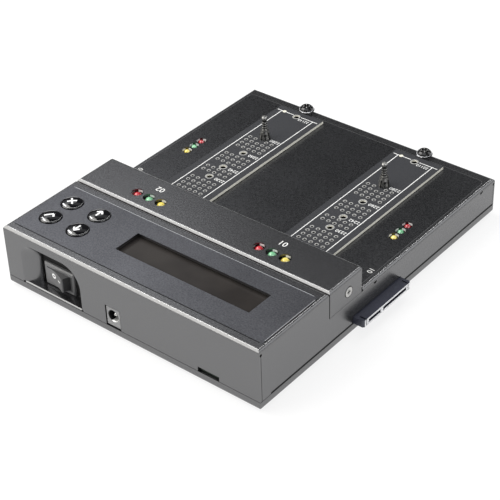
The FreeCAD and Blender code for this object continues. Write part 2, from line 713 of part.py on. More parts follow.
def bridge_seat():
    """The deck's bends are set back under the bridge so that its sides finish flush."""
    tools = []
    z0 = Z_DECK - BRIDGE_FLANGE_DROP - SEAM
    for sign in SIDES.values():
        x0 = min(sign * (SIDE - SHEET - BRIDGE_EAR_GAP), sign * (SIDE + CUT))
        x1 = max(sign * (SIDE - SHEET - BRIDGE_EAR_GAP), sign * (SIDE + CUT))
        tools.append(box(x0, x1, Y_BRIDGE_OPEN - SEAM, Y_STEP, z0, Z_TOP))
    return tools


def bridge_ears():
    ears = []
    y = Y_BRIDGE_OPEN + BRIDGE_SCREW_SETBACK
    for sign in SIDES.values():
        outer = SIDE - SHEET - BRIDGE_EAR_GAP
        middle = sign * (outer - BRIDGE_EAR / 2)
        ears.append(centred_box(middle, y, BRIDGE_EAR, BRIDGE_EAR_WIDTH,
                                Z_DECK - SHEET, Z_DECK + BRIDGE_EAR_HEIGHT))
    return ears


def deck_openings():
    tools = [rod(x, y, Z_DECK - CUT, Z_DECK + CUT, DECK_LED_HOLE) for x, y in deck_led_places().values()]
    for sign in SIDES.values():
        x = m2_x(sign)
        tools.append(rod(x, Y_END_SCREW, Z_DECK - CUT, Z_DECK + CUT, END_SCREW_SHANK + 2 * SCREW_CLEARANCE))
        tools.append(centred_box(x, Y_DATUM + LINK_SETBACK, LINK_LENGTH + LINK_CLEARANCE,
                                 LINK_DEPTH + LINK_CLEARANCE, Z_DECK - CUT, Z_DECK + CUT))
        tools.append(centred_box(x, bridge_lead_y(), LED_LEAD_WIDTH + 2 * LINK_CLEARANCE,
                                 LED_LEAD_THICK + 2 * LINK_CLEARANCE, Z_DECK - CUT, Z_DECK + CUT))
    return tools


def bridge_lead_y():
    return Y_BRIDGE_BACK - BRIDGE_LED_SETBACK + LED_BOARD_WIDTH / 2 - LED_LEAD_THICK


def power_wall_openings():
    y0 = Y_POWER - SHEET - CUT / 10
    y1 = Y_POWER + CUT
    jack = box(JACK_X - JACK_WIDTH / 2 - CUTOUT_GAP, JACK_X + JACK_WIDTH / 2 + CUTOUT_GAP + JACK_SLACK,
               y0, y1, Z_COVER - CUT, Z_POWER_TOP + JACK_HEIGHT + CUTOUT_GAP)
    card = box(X_CARD - CARD_OPENING / 2, X_CARD + CARD_OPENING / 2, y0, y1,
               Z_COVER - CUT, Z_POWER_TOP + CARD_HEIGHT)
    return [jack, card]


def housing_hole():
    half_x = HOUSING_WIDTH / 2 + CUTOUT_GAP
    half_z = HOUSING_HEIGHT / 2 + CUTOUT_GAP
    return box(X_SCOOP - half_x, X_SCOOP + half_x, Y_SCOOP - CUT, Y_SCOOP + CUT / 10,
               Z_BEZEL - half_z, Z_BEZEL + half_z)


def bridge_screw_axis(shape, sign):
    """Lay a downward piece on its side so that it enters the bridge's side from outside."""
    laid = shape.copy()
    laid.rotate(Vec(0, 0, 0), Y_AXIS, 90 * sign)
    return moved(laid, sign * SIDE, Y_BRIDGE_OPEN + BRIDGE_SCREW_SETBACK, Z_DECK + BRIDGE_SCREW_RISE)


def upper_cover():
    shell = cover_body(0, Z_COVER).cut(cover_body(SHEET, Z_COVER - CUT))
    shell = shell.cut(scoop(0, Z_COVER - CUT, CUT))
    pocket = scoop(SHEET, Z_COVER, 0).cut(scoop(0, Z_COVER - CUT, CUT))
    shell = shell.fuse(pocket).fuse(scoop_sill())
    shell = cut_all(shell, bridge_seat())
    for ear in bridge_ears():
        shell = shell.fuse(ear)
    tools = panel_openings(Z_TOP - CUT, Z_TOP + CUT, 0)
    tools += corner_slits() + side_openings() + deck_openings() + power_wall_openings()
    tools.append(housing_hole())
    tools += scoop_reliefs()
    bore = Part.makeCylinder(SCREW_SHANK / 2 + SCREW_CLEARANCE, 2 * CUT, Vec(0, 0, -2 * CUT))
    tools += [bridge_screw_axis(bore, sign) for sign in SIDES.values()]
    return cut_all(shell, tools).removeSplitter()


# ---------------------------------------------------------------- bridge cover and its screws
def bridge_cover():
    bottom = Z_DECK - BRIDGE_FLANGE_DROP
    outer = folded_block(-SIDE, SIDE, Y_BRIDGE_OPEN, Y_BRIDGE_BACK, bottom, Z_TOP,
                         BEND_RADIUS, True, True)
    upright = [edge for edge in outer.Edges
               if len(edge.Vertexes) == 2 and abs(edge.tangentAt(edge.FirstParameter).z) > 0.99
               and edge.CenterOfMass.y < Y_BRIDGE_OPEN + SEAM]
    outer = outer.makeFillet(BRIDGE_CORNER_RADIUS, upright)
    inner = folded_block(-SIDE + SHEET, SIDE - SHEET, Y_BRIDGE_OPEN + SHEET, Y_BRIDGE_BACK - SHEET,
                         bottom - CUT, Z_TOP - SHEET, BEND_RADIUS - SHEET, True, True)
    lid = outer.cut(inner)
    clear = SEAM
    tools = [box(-SIDE + SHEET, SIDE - SHEET, Y_BRIDGE_OPEN - CUT, Y_BRIDGE_BACK + CUT,
                 bottom - CUT, Z_DECK + clear)]
    for sign in SIDES.values():
        tools.append(centred_box(m2_x(sign), Y_BRIDGE_OPEN, M2_BOARD_WIDTH + 2 * MOUTH_MARGIN,
                                 4 * SHEET, bottom - CUT, Z_TOP - BRIDGE_LIP))
        tools.append(bridge_screw_axis(flat_sink(), sign))
    tools += [rod(x, y, Z_TOP - CUT, Z_TOP + CUT, BRIDGE_LED_HOLE) for x, y in bridge_led_places().values()]
    return cut_all(lid, tools).removeSplitter()


def bridge_screws():
    return [bridge_screw_axis(flat_screw(SCREW_LENGTH), sign) for sign in SIDES.values()]


# ---------------------------------------------------------------- the two M.2 boards
def m2_outline(sign, inset, z0, z1):
    x = m2_x(sign)
    half = M2_BOARD_WIDTH / 2 - inset
    return box(x - half, x + half, Y_BOARD_END + inset, Y_DATUM + M2_BOARD_TAIL - inset, z0, z1)


def m2_board(sign):
    x = m2_x(sign)
    holes = [rod(x, hole_y(length), Z_M2_BOARD - CUT, Z_M2_TOP + CUT, M2_HOLE) for length in M2_LENGTHS]
    tooling_y = hole_y(max(M2_LENGTHS)) - M2_TOOLING_SETBACK
    holes.append(rod(x + M2_TOOLING_OFFSET, tooling_y, Z_M2_BOARD - CUT, Z_M2_TOP + CUT, M2_TOOLING_HOLE))
    return cut_all(m2_outline(sign, 0, Z_M2_BOARD, Z_M2_TOP), holes)


def m2_pad(sign):
    x = m2_x(sign)
    holes = [post(x, hole_y(length), Z_PAD - CUT, Z_M2_TOP, M2_HOLE + 2 * M2_PAD_INSET)
             for length in M2_LENGTHS]
    holes.append(centred_box(x, Y_DATUM + LINK_SETBACK, LINK_LENGTH + LINK_CLEARANCE,
                             LINK_DEPTH + LINK_CLEARANCE, Z_PAD - CUT, Z_M2_TOP))
    return cut_all(m2_outline(sign, M2_PAD_INSET, Z_PAD, Z_M2_BOARD), holes)


def m2_socket(sign):
    x = m2_x(sign)
    mouth = Y_DATUM - SOCKET_ENGAGE
    body = box(x - SOCKET_WIDTH / 2, x + SOCKET_WIDTH / 2, mouth, mouth + SOCKET_DEPTH,
               Z_M2_TOP, Z_M2_TOP + SOCKET_HEIGHT)
    middle = Z_M2_TOP + SOCKET_HEIGHT * 0.55
    slot = centred_box(x, mouth, SOCKET_SLOT_WIDTH, 2 * SOCKET_ENGAGE + SEAM,
                       middle - SOCKET_SLOT_HEIGHT / 2, middle + SOCKET_SLOT_HEIGHT / 2)
    key = centred_box(x + SOCKET_KEY_OFFSET, mouth, SOCKET_KEY, 2 * SOCKET_ENGAGE + SEAM,
                      middle - SOCKET_SLOT_HEIGHT, middle + SOCKET_SLOT_HEIGHT)
    relief = box(x - SOCKET_SLOT_WIDTH / 2, x + SOCKET_SLOT_WIDTH / 2, mouth - CUT, mouth + SHEET,
                 middle, Z_M2_TOP + SOCKET_HEIGHT * 0.86)
    return body.cut(slot.cut(key)).cut(relief)


def m2_link_header(sign):
    """The upright link from the M.2 board, through the deck, to the main board."""
    x = m2_x(sign)
    y = Y_DATUM + LINK_SETBACK
    return centred_box(x, y, LINK_LENGTH, LINK_DEPTH, Z_MAIN_TOP, Z_M2_BOARD)


def post_collet(sign):
    """Split tapered collet that grips the board's hole when its pin is pushed down."""
    x = m2_x(sign)
    y = hole_y(M2_LENGTHS[M2_POST_HOLE])
    crown = COLLET_HEIGHT - SEAM * 2
    collet = revolved([
        (0, -M2_BOARD_THICK - M2_PAD_THICK / 2),
        (COLLET_NECK / 2, -M2_BOARD_THICK - M2_PAD_THICK / 2),
        (COLLET_NECK / 2, 0),
        (COLLET_BASE / 2, 0),
        (COLLET_BASE / 2, SHEET),
        (COLLET_TOP / 2, crown),
        (COLLET_TOP / 2, COLLET_HEIGHT),
        (0, COLLET_HEIGHT),
    ])
    bore = Part.makeCylinder(PIN_DIAMETER / 2 + PIN_CLEARANCE, COLLET_HEIGHT + CUT, Vec(0, 0, COLLET_FLOOR))
    collet = collet.cut(bore)
    low = -M2_BOARD_THICK - M2_PAD_THICK
    half = COLLET_BASE
    collet = collet.cut(box(-half, half, -COLLET_SLOT / 2, COLLET_SLOT / 2, low, COLLET_SLOT_TOP))
    collet = collet.cut(box(-COLLET_SLOT / 2, COLLET_SLOT / 2, -half, half, low, COLLET_SLOT_TOP))
    return moved(collet, x, y, Z_M2_TOP)


def post_pin(sign):
    """Grooved pin with a rounded cap, standing pulled up in its collet."""
    r = PIN_DIAMETER / 2
    cap = PIN_CAP / 2
    low = PIN_TRAVEL + SEAM
    neck = PIN_TOP - cap
    profile = [(0, low), (r - PIN_GROOVE, low), (r, low + PIN_GROOVE)]
    for step in range(PIN_GROOVE_COUNT, 0, -1):
        z = neck - step * PIN_GROOVE_PITCH
        profile += [(r, z - PIN_GROOVE_PITCH / 2), (r - PIN_GROOVE, z)]
    profile += [(r, neck), (cap, neck + PIN_GROOVE), (cap, neck + cap * 0.5),
                (cap * 0.7, neck + cap * 0.88), (0, PIN_TOP)]
    return moved(revolved(profile), m2_x(sign), hole_y(M2_LENGTHS[M2_POST_HOLE]), Z_M2_TOP)


def end_screws():
    """Flanged pan-head screws that hold the deck's front edge and stop the boards' ends."""
    flange = END_SCREW_FLANGE / 2
    head = END_SCREW_HEAD / 2
    rim = END_SCREW_RIM
    crown = rim + END_SCREW_CROWN
    shoulder = M2_PAD_THICK + M2_BOARD_THICK
    screw = revolved([
        (0, -shoulder - END_SCREW_REACH), (END_SCREW_SHANK / 2, -shoulder - END_SCREW_REACH),
        (END_SCREW_SHANK / 2, -shoulder), (END_SCREW_SHOULDER / 2, -shoulder),
        (END_SCREW_SHOULDER / 2, 0), (flange, 0), (flange, rim * 0.6), (head, rim),
        (head * 0.95, rim + 0.5 * END_SCREW_CROWN), (head * 0.7, rim + 0.88 * END_SCREW_CROWN), (0, crown),
    ])
    recess = moved(cross_recess(head * RECESS_SPAN, END_SCREW_CROWN * RECESS_DEPTH), 0, 0, crown)
    screw = screw.cut(recess)
    return [moved(screw, m2_x(sign), Y_END_SCREW, Z_M2_TOP) for sign in SIDES.values()]


def end_screw_standoffs():
    bore = END_SCREW_SHANK + 2 * SCREW_CLEARANCE
    reach = Z_DECK - END_SCREW_REACH - SEAM
    posts = []
    for sign in SIDES.values():
        x = m2_x(sign)
        column = rod(x, Y_END_SCREW, Z_FLOOR, Z_DECK - SHEET, END_POST)
        posts.append(column.cut(rod(x, Y_END_SCREW, reach, Z_DECK, bore)))
    return posts


# ---------------------------------------------------------------- indicator lamps
def led(x, y, top, diameter):
    """A round lamp: flanged base, straight body and domed end."""
    r = diameter / 2
    base = top - LED_LENGTH
    rim = r + LED_FLANGE
    profile = [(0, base), (rim, base), (rim, base + LED_FLANGE_THICK), (r, base + LED_FLANGE_THICK)]
    for degrees in (0, 25, 50, 70, 90):
        turn = math.radians(degrees)
        profile.append((r * math.cos(turn), top - r + r * math.sin(turn)))
    profile[-1] = (0, top)
    return moved(revolved(profile), x, y, 0)


def lamps(step):
    """All lamps of one colour: step -1, 0 or 1 along each row of three."""
    found = []
    for (_, place), (x, y) in bridge_led_places().items():
        if place == step:
            found.append(led(x, y, Z_TOP - LED_BELOW_BRIDGE, BRIDGE_LED))
    for (_, place), (x, y) in deck_led_places().items():
        if place == step:
            found.append(led(x, y, Z_DECK + LED_ABOVE_DECK, DECK_LED))
    return found


def led_board_tops():
    return Z_TOP - LED_BELOW_BRIDGE - LED_LENGTH, Z_DECK + LED_ABOVE_DECK - LED_LENGTH


def bridge_led_boards():
    top, _ = led_board_tops()
    length = 2 * (BRIDGE_LED_PITCH + LED_BOARD_MARGIN)
    y = Y_BRIDGE_BACK - BRIDGE_LED_SETBACK
    return [centred_box(m2_x(sign), y, length, LED_BOARD_WIDTH, top - LED_BOARD_THICK, top)
            for sign in SIDES.values()]


def deck_led_boards():
    _, top = led_board_tops()
    length = 2 * (DECK_LED_PITCH + LED_BOARD_MARGIN)
    y = Y_BRIDGE_OPEN - DECK_LED_SETBACK
    x = SIDE - DECK_LED_INSET
    return [centred_box(sign * x, y, LED_BOARD_WIDTH, length, top - LED_BOARD_THICK, top)
            for sign in SIDES.values()]


def led_spacers():
    bridge_top, deck_top = led_board_tops()
    reach_bridge = BRIDGE_LED_PITCH + LED_BOARD_MARGIN - LED_SPACER_MARGIN
    reach_deck = DECK_LED_PITCH + LED_BOARD_MARGIN - LED_SPACER_MARGIN
    spacers = []
    for sign in SIDES.values():
        for end in (-1, 1):
            x = m2_x(sign) + end * reach_bridge
            spacers.append(post(x, Y_BRIDGE_BACK - BRIDGE_LED_SETBACK, bridge_top, Z_TOP - SHEET, LED_SPACER))
            y = Y_BRIDGE_OPEN - DECK_LED_SETBACK + end * reach_deck
            spacers.append(post(sign * (SIDE - DECK_LED_INSET), y, deck_top, Z_DECK - SHEET, LED_SPACER))
    return spacers


def led_leads():
    bridge_top, deck_top = led_board_tops()
    _, _, board_front, _ = main_board_edges()
    strips = []
    for sign in SIDES.values():
        strips.append(centred_box(m2_x(sign), bridge_lead_y(), LED_LEAD_WIDTH, LED_LEAD_THICK,
                                  Z_MAIN_TOP, bridge_top - LED_BOARD_THICK))
        strips.append(centred_box(sign * (SIDE - DECK_LED_INSET), board_front + LED_LEAD_WIDTH,
                                  LED_LEAD_WIDTH, LED_LEAD_THICK, Z_MAIN_TOP, deck_top - LED_BOARD_THICK))
    return strips


# ---------------------------------------------------------------- control panel
def panel_overlay():
    sheet = box(-SIDE + OVERLAY_SIDE_MARGIN, SIDE - OVERLAY_SIDE_MARGIN,
                Y_STEP + OVERLAY_STEP_MARGIN, Y_POWER - OVERLAY_POWER_MARGIN, Z_TOP, Z_TOP + OVERLAY_THICK)
    return cut_all(sheet, panel_openings(Z_TOP - CUT, Z_TOP + CUT, 0))


def key_cap(x, y):
    """Domed round key with a retaining flange under the panel and a stem over its switch."""
    r = KEY_DIAMETER / 2
    flange_top = Z_TOP - SHEET - KEY_REST_GAP
    side_top = Z_TOP + OVERLAY_THICK + KEY_PROUD
    profile = [
        (0, stem_bottom()), (KEY_STEM / 2, stem_bottom()),
        (KEY_STEM / 2, flange_top - KEY_FLANGE_THICK),
        (KEY_FLANGE / 2, flange_top - KEY_FLANGE_THICK), (KEY_FLANGE / 2, flange_top), (r, flange_top),
        (r, side_top - KEY_EDGE), (r - KEY_EDGE, side_top),
    ]
    for share in (0.3, 0.6, 1.0):
        profile.append(((r - KEY_EDGE) * (1 - share), side_top + KEY_DOME * (1 - (1 - share) ** 2)))
    return moved(revolved(profile), x, y, 0)


def keypad_top():
    return Z_TOP - SHEET - KEYPAD_DROP


def stem_bottom():
    return keypad_top() + SWITCH_HEIGHT + ACTUATOR_PROUD


def key_actuator(x, y):
    return rod(x, y, keypad_top() + SWITCH_HEIGHT - KEY_TRAVEL, stem_bottom(), ACTUATOR)


def keypad_switches():
    well = ACTUATOR + 2 * ACTUATOR_CLEARANCE
    top = keypad_top() + SWITCH_HEIGHT
    bodies = []
    for x, y in key_places().values():
        body = centred_box(x, y, SWITCH_SIZE, SWITCH_SIZE, keypad_top(), top)
        bodies.append(body.cut(rod(x, y, top - 3 * KEY_TRAVEL, top + CUT, well)))
    return bodies


def keypad_edges():
    half_x = KEY_PITCH_X / 2 + KEYPAD_BOARD_MARGIN_X
    half_y = KEY_PITCH_Y / 2 + KEYPAD_BOARD_MARGIN_Y
    return X_KEYPAD - half_x, X_KEYPAD + half_x, Y_PANEL_ROW - half_y, Y_PANEL_ROW + half_y


def keypad_board():
    x0, x1, y0, y1 = keypad_edges()
    return box(x0, x1, y0, y1, keypad_top() - BOARD_THICK, keypad_top())


def keypad_spacers():
    x0, x1, _, _ = keypad_edges()
    inset = PANEL_SPACER / 2
    return [post(x, Y_PANEL_ROW, keypad_top(), Z_TOP - SHEET, PANEL_SPACER)
            for x in (x0 + inset, x1 - inset)]


def lcd_board_top():
    return Z_TOP - SHEET - LCD_BOARD_DROP


def lcd_glass():
    top = Z_TOP - LCD_GLASS_DROP
    return centred_box(X_LCD, Y_PANEL_ROW, LCD_WINDOW_X + 2 * LCD_GLASS_MARGIN,
                       LCD_WINDOW_Y + 2 * LCD_GLASS_MARGIN, top - LCD_GLASS_THICK, top)


def lcd_light_guide():
    return centred_box(X_LCD, Y_PANEL_ROW, LCD_WINDOW_X + 2 * LCD_GLASS_MARGIN,
                       LCD_WINDOW_Y + 2 * LCD_GLASS_MARGIN, lcd_board_top(),
                       Z_TOP - LCD_GLASS_DROP - LCD_GLASS_THICK)


def lcd_frame():
    """Pressed tin frame that holds glass and light guide down on the display board."""
    width = LCD_WINDOW_X + 2 * LCD_FRAME_MARGIN_X
    depth = LCD_WINDOW_Y + 2 * LCD_FRAME_MARGIN_Y
    top = Z_TOP - LCD_GLASS_DROP + LCD_FRAME_SHEET
    outer = centred_box(X_LCD, Y_PANEL_ROW, width, depth, lcd_board_top(), top)
    inner = centred_box(X_LCD, Y_PANEL_ROW, width - 2 * LCD_FRAME_SHEET, depth - 2 * LCD_FRAME_SHEET,
                        lcd_board_top() - CUT, top - LCD_FRAME_SHEET)
    window = centred_box(X_LCD, Y_PANEL_ROW, LCD_WINDOW_X + LCD_GLASS_MARGIN,
                         LCD_WINDOW_Y + LCD_GLASS_MARGIN, top - CUT, top + CUT)
    return outer.cut(inner).cut(window)


def lcd_edges():
    half_x = LCD_WINDOW_X / 2 + LCD_BOARD_MARGIN_X
    half_y = LCD_WINDOW_Y / 2 + LCD_BOARD_MARGIN_Y
    return X_LCD - half_x, X_LCD + half_x, Y_PANEL_ROW - half_y, Y_PANEL_ROW + half_y


def lcd_board():
    x0, x1, y0, y1 = lcd_edges()
    return box(x0, x1, y0, y1, lcd_board_top() - BOARD_THICK, lcd_board_top())


def lcd_spacers():
    spots = corner_places(lcd_edges(), PANEL_SPACER / 2)
    return [post(x, y, lcd_board_top(), Z_TOP - SHEET, PANEL_SPACER) for x, y in spots]


def ribbon(x, y, top):
    """Flat cable from a panel board's underside, down and under the step, to the main board."""
    _, _, _, board_rear = main_board_edges()
    foot = board_rear - 4 * RIBBON_THICK
    mid = (top + Z_MAIN_TOP) / 2
    route = [(y, top), (y, mid), (foot, mid - STEP_HEIGHT / 3), (foot, Z_MAIN_TOP)]
    return strip(route, RIBBON_THICK, x - RIBBON_WIDTH / 2, x + RIBBON_WIDTH / 2)


# ---------------------------------------------------------------- power switch
def switch_housing():
    bezel = centred_box(X_SCOOP, Y_SCOOP + BEZEL_THICK / 2, BEZEL_WIDTH, BEZEL_THICK,
                        Z_BEZEL - BEZEL_HEIGHT / 2, Z_BEZEL + BEZEL_HEIGHT / 2)
    front = [edge for edge in bezel.Edges if abs(edge.CenterOfMass.y - Y_BEZEL) < SEAM]
    bezel = bezel.makeChamfer(BEZEL_CHAMFER, front)
    body = centred_box(X_SCOOP, Y_SCOOP - HOUSING_DEPTH / 2, HOUSING_WIDTH, HOUSING_DEPTH,
                       Z_BEZEL - HOUSING_HEIGHT / 2, Z_BEZEL + HOUSING_HEIGHT / 2)
    half_z = ROCKER_OPENING_HEIGHT / 2
    cavity = box(X_SCOOP - ROCKER_OPENING_WIDTH / 2, X_SCOOP + ROCKER_OPENING_WIDTH / 2,
                 Y_BEZEL - ROCKER_CAVITY, Y_BEZEL + CUT, Z_BEZEL - half_z, Z_BEZEL + half_z)
    reach = half_z + AXLE_LENGTH + AXLE_CLEARANCE
    bearing = Part.makeCylinder(AXLE_DIAMETER / 2 + AXLE_CLEARANCE, 2 * reach,
                                Vec(X_SCOOP, Y_BEZEL - ROCKER_PIVOT, Z_BEZEL - reach))
    return bezel.fuse(body).cut(cavity).cut(bearing).removeSplitter()


def switch_rocker():
    """Dished rocker on two stub axles, stored with its -X end standing proud."""
    end = Vec(ROCKER_END, ROCKER_CREST, 0)
    dish = Part.Arc(Vec(-ROCKER_END, ROCKER_CREST, 0), Vec(0, ROCKER_CREST - ROCKER_HOLLOW, 0), end).toShape()
    lower = [end, Vec(ROCKER_SHOULDER, -ROCKER_PIVOT, 0),
             Vec(ROCKER_BELLY_HALF, -ROCKER_PIVOT - ROCKER_BELLY, 0),
             Vec(-ROCKER_BELLY_HALF, -ROCKER_PIVOT - ROCKER_BELLY, 0),
             Vec(-ROCKER_SHOULDER, -ROCKER_PIVOT, 0), Vec(-ROCKER_END, ROCKER_CREST, 0)]
    outline = Part.Wire([dish] + [Part.makeLine(a, b) for a, b in zip(lower, lower[1:])])
    height = ROCKER_OPENING_HEIGHT - 2 * ROCKER_SIDE_GAP
    paddle = Part.Face(outline).extrude(Vec(0, 0, height))
    paddle.translate(Vec(0, 0, -height / 2))
    reach = ROCKER_OPENING_HEIGHT / 2 + AXLE_LENGTH
    axle = Part.makeCylinder(AXLE_DIAMETER / 2, 2 * reach, Vec(0, -ROCKER_PIVOT, -reach))
    rocker = paddle.fuse(axle).removeSplitter()
    rocker.rotate(Vec(0, -ROCKER_PIVOT, 0), Z_AXIS, -ROCKER_TILT)
    return moved(rocker, X_SCOOP, Y_BEZEL, Z_BEZEL)


def terminal_place(step):
    return X_SCOOP + step * TERMINAL_PITCH / 2, Y_SCOOP - HOUSING_DEPTH


def switch_terminals():
    blades = []
    for step in (-1, 1):
        x, y = terminal_place(step)
        blades.append(box(x - TERMINAL_THICK / 2, x + TERMINAL_THICK / 2, y - TERMINAL_LENGTH, y,
                          Z_BEZEL - TERMINAL_WIDTH / 2, Z_BEZEL + TERMINAL_WIDTH / 2))
    return blades


def switch_leads():
    """Two insulated wires from the switch's blades to the power board."""
    _, x1, y0, _ = power_board_edges()
    wires = []
    for step in (-1, 1):
        x, y = terminal_place(step)
        start = Vec(x, y - TERMINAL_LENGTH, Z_BEZEL)
        order = (step + 1) / 2
        turn = y - TERMINAL_LENGTH - LEAD_RUN - order * LEAD_PITCH
        land = x1 - LEAD_LANDING - order * LEAD_LANDING_PITCH
        arrive = y0 + LEAD_DIAMETER
        wires.append(lead([start, Vec(x, turn, Z_BEZEL), Vec(land, turn, Z_BEZEL),
                           Vec(land, arrive, Z_BEZEL), Vec(land, arrive, Z_POWER_TOP)],
                          LEAD_DIAMETER))
    return wires


# ---------------------------------------------------------------- inlet, card slot and power board
def dc_jack():
    z0 = Z_POWER_TOP
    body = box(JACK_X - JACK_WIDTH / 2, JACK_X + JACK_WIDTH / 2, Y_POWER - JACK_DEPTH, Y_POWER,
               z0, z0 + JACK_HEIGHT)
    axis_z = z0 + JACK_BARREL_HEIGHT
    barrel = Part.makeCylinder(JACK_BARREL / 2, JACK_BARREL_DEPTH + CUT,
                               Vec(JACK_X, Y_POWER - JACK_BARREL_DEPTH, axis_z), Y_AXIS)
    flare = (JACK_MOUTH - JACK_BARREL) / 2
    mouth = Part.makeCone(JACK_BARREL / 2, JACK_MOUTH / 2, flare,
                          Vec(JACK_X, Y_POWER - flare, axis_z), Y_AXIS)
    return body.cut(barrel).cut(mouth)


def dc_jack_pin():
    tip = Y_POWER - JACK_PIN_SETBACK
    root = Y_POWER - JACK_BARREL_DEPTH
    pin = revolved([(0, 0), (JACK_PIN / 2, 0), (JACK_PIN / 2, tip - root - 0.5),
                    (JACK_PIN / 4, tip - root), (0, tip - root)])
    pin.rotate(Vec(0, 0, 0), X_AXIS, -90)
    return moved(pin, JACK_X, root, Z_POWER_TOP + JACK_BARREL_HEIGHT)


def card_socket():
    front = Y_POWER - SHEET - CARD_SETBACK
    body = box(X_CARD - CARD_WIDTH / 2, X_CARD + CARD_WIDTH / 2, front - CARD_DEPTH, front,
               Z_POWER_TOP, Z_POWER_TOP + CARD_HEIGHT)
    slot = box(X_CARD - CARD_SLOT_WIDTH / 2, X_CARD + CARD_SLOT_WIDTH / 2, front - CARD_SLOT_DEPTH,
               front + CUT, Z_POWER_TOP + CARD_FLOOR, Z_POWER_TOP + CARD_FLOOR + CARD_SLOT_HEIGHT)
    return body.cut(slot)


def power_board():
    x0, x1, y0, y1 = power_board_edges()
    board = box(x0, x1, y0, y1, Z_POWER, Z_POWER_TOP)
    return cut_all(board, screw_holes(power_board_places(), Z_POWER))


def screw_holes(places, z):
    hole = SCREW_SHANK + 2 * SCREW_CLEARANCE
    return [rod(x, y, z - CUT, z + BOARD_THICK + CUT, hole) for x, y in places]


def main_board():
    x0, x1, y0, y1 = main_board_edges()
    board = box(x0, x1, y0, y1, Z_MAIN, Z_MAIN_TOP)
    return cut_all(board, screw_holes(main_board_places(), Z_MAIN))


def board_spacers():
    bore = SCREW_SHANK + 2 * SCREW_CLEARANCE
    low = [hex_tube(x, y, Z_FLOOR, Z_MAIN, SPACER_DIAMETER, bore) for x, y in main_board_places()]
    tall = [hex_tube(x, y, Z_FLOOR, Z_POWER, SPACER_DIAMETER, bore) for x, y in power_board_places()]
    return low + tall


def board_screws():
    def screw(x, y, top):
        shank = rod(x, y, Z_FLOOR, top, SCREW_SHANK)
        return shank.fuse(rod(x, y, top, top + BOARD_SCREW_RISE, BOARD_SCREW_HEAD))
    low = [screw(x, y, Z_MAIN_TOP) for x, y in main_board_places()]
    tall = [screw(x, y, Z_POWER_TOP) for x, y in power_board_places()]
    return low + tall


def main_chips():
    _, _, y0, y1 = main_board_edges()
    middle = (y0 + y1) / 2
    gap = CHIP_SIZE * CHIP_SPREAD
    small = CHIP_SIZE / 2
    places = [(0, middle, CHIP_SIZE), (-gap, middle, small), (gap, middle, small), (gap, middle - gap, small)]
    return [centred_box(x, y, size, size, Z_MAIN_TOP, Z_MAIN_TOP + CHIP_THICK) for x, y, size in places]


def capacitors():
    _, _, y0, _ = power_board_edges()
    y = y0 + CAPACITOR_SETBACK
    return [rod(JACK_X - JACK_WIDTH / 2 - (step + 1) * CAPACITOR_PITCH, y, Z_POWER_TOP,
                Z_POWER_TOP + CAPACITOR_HEIGHT, CAPACITOR_DIAMETER) for step in range(CAPACITOR_COUNT)]


# ---------------------------------------------------------------- SATA receptacles
def sata_shape():
    """Receptacle at the -X wall: body and two hooked guide arms, its mouth facing -X."""
    mouth = -SIDE - SATA_PROUD
    rear = -SIDE + SATA_TAIL
    stop = rear - SATA_TAIL / 2
    crotch = -SIDE - SATA_SHOULDER
    body = SATA_BODY_WIDTH / 2
    outer = SATA_WIDTH / 2
    inner = outer - SATA_ARM
    nose = SATA_ARM / 2
    hook = (inner + body) / 2
    side = [(rear, body), (stop, body), (stop, outer), (mouth + nose, outer), (mouth, outer - nose),
            (mouth, hook), (mouth + nose, inner), (crotch, inner), (crotch, body), (mouth, body)]
    outline = [Vec(x, Y_SATA + y, Z_SATA) for x, y in side]
    outline += [Vec(x, Y_SATA - y, Z_SATA) for x, y in side[::-1]]
    foot = box(stop, rear, Y_SATA - body, Y_SATA + body, Z_MAIN_TOP, Z_SATA)
    receptacle = prism(outline, Vec(0, 0, SATA_HEIGHT)).fuse(foot).removeSplitter()
    middle = Z_SATA + SATA_HEIGHT / 2
    high = middle + SATA_SLOT_HEIGHT / 2
    low = middle - SATA_SLOT_HEIGHT / 2
    for y0, y1, key_end in sata_slots():
        key = y0 + SATA_SLOT_KEY if key_end < 0 else y1 - SATA_SLOT_KEY
        far = y1 if key_end < 0 else y0
        near = y0 if key_end < 0 else y1
        section = [(near, low - SATA_SLOT_KEY / 2), (near, high), (far, high), (far, low),
                   (key, low), (key, low - SATA_SLOT_KEY / 2)]
        slot = prism([Vec(mouth - CUT, y, z) for y, z in section], Vec(CUT + SATA_MOUTH_DEPTH, 0, 0))
        receptacle = receptacle.cut(slot)
    return receptacle


def sata_slots():
    """Power and signal slots, with the end at which each one's key lies."""
    start = Y_SATA - SATA_SLOT_SPAN / 2
    power_end = start + SATA_POWER_SLOT
    return ((start, power_end, 1), (power_end + SATA_KEY_WALL, start + SATA_SLOT_SPAN, -1))


def sata_contact_shapes():
    """Spring contacts along the roof of both slots."""
    mouth = -SIDE - SATA_PROUD
    ceiling = Z_SATA + SATA_HEIGHT / 2 + SATA_SLOT_HEIGHT / 2
    root = mouth + SATA_MOUTH_DEPTH
    blades = []
    for (y0, y1, _), count in zip(sata_slots(), (SATA_POWER_PIN_COUNT, SATA_SIGNAL_PIN_COUNT)):
        first = (y0 + y1) / 2 - (count - 1) / 2 * SATA_PIN_PITCH
        for index in range(count):
            y = first + index * SATA_PIN_PITCH
            blades.append(box(root - SATA_PIN_LENGTH, root, y - SATA_PIN_WIDTH / 2, y + SATA_PIN_WIDTH / 2,
                              ceiling - SATA_PIN_THICK, ceiling))
    return blades


def placed_sata(shape, sign):
    """The target receptacle is the source one turned half round about the upright through its row."""
    turned = shape.copy()
    if sign > 0:
        turned.rotate(Vec(0, Y_SATA, 0), Z_AXIS, 180)
    return turned


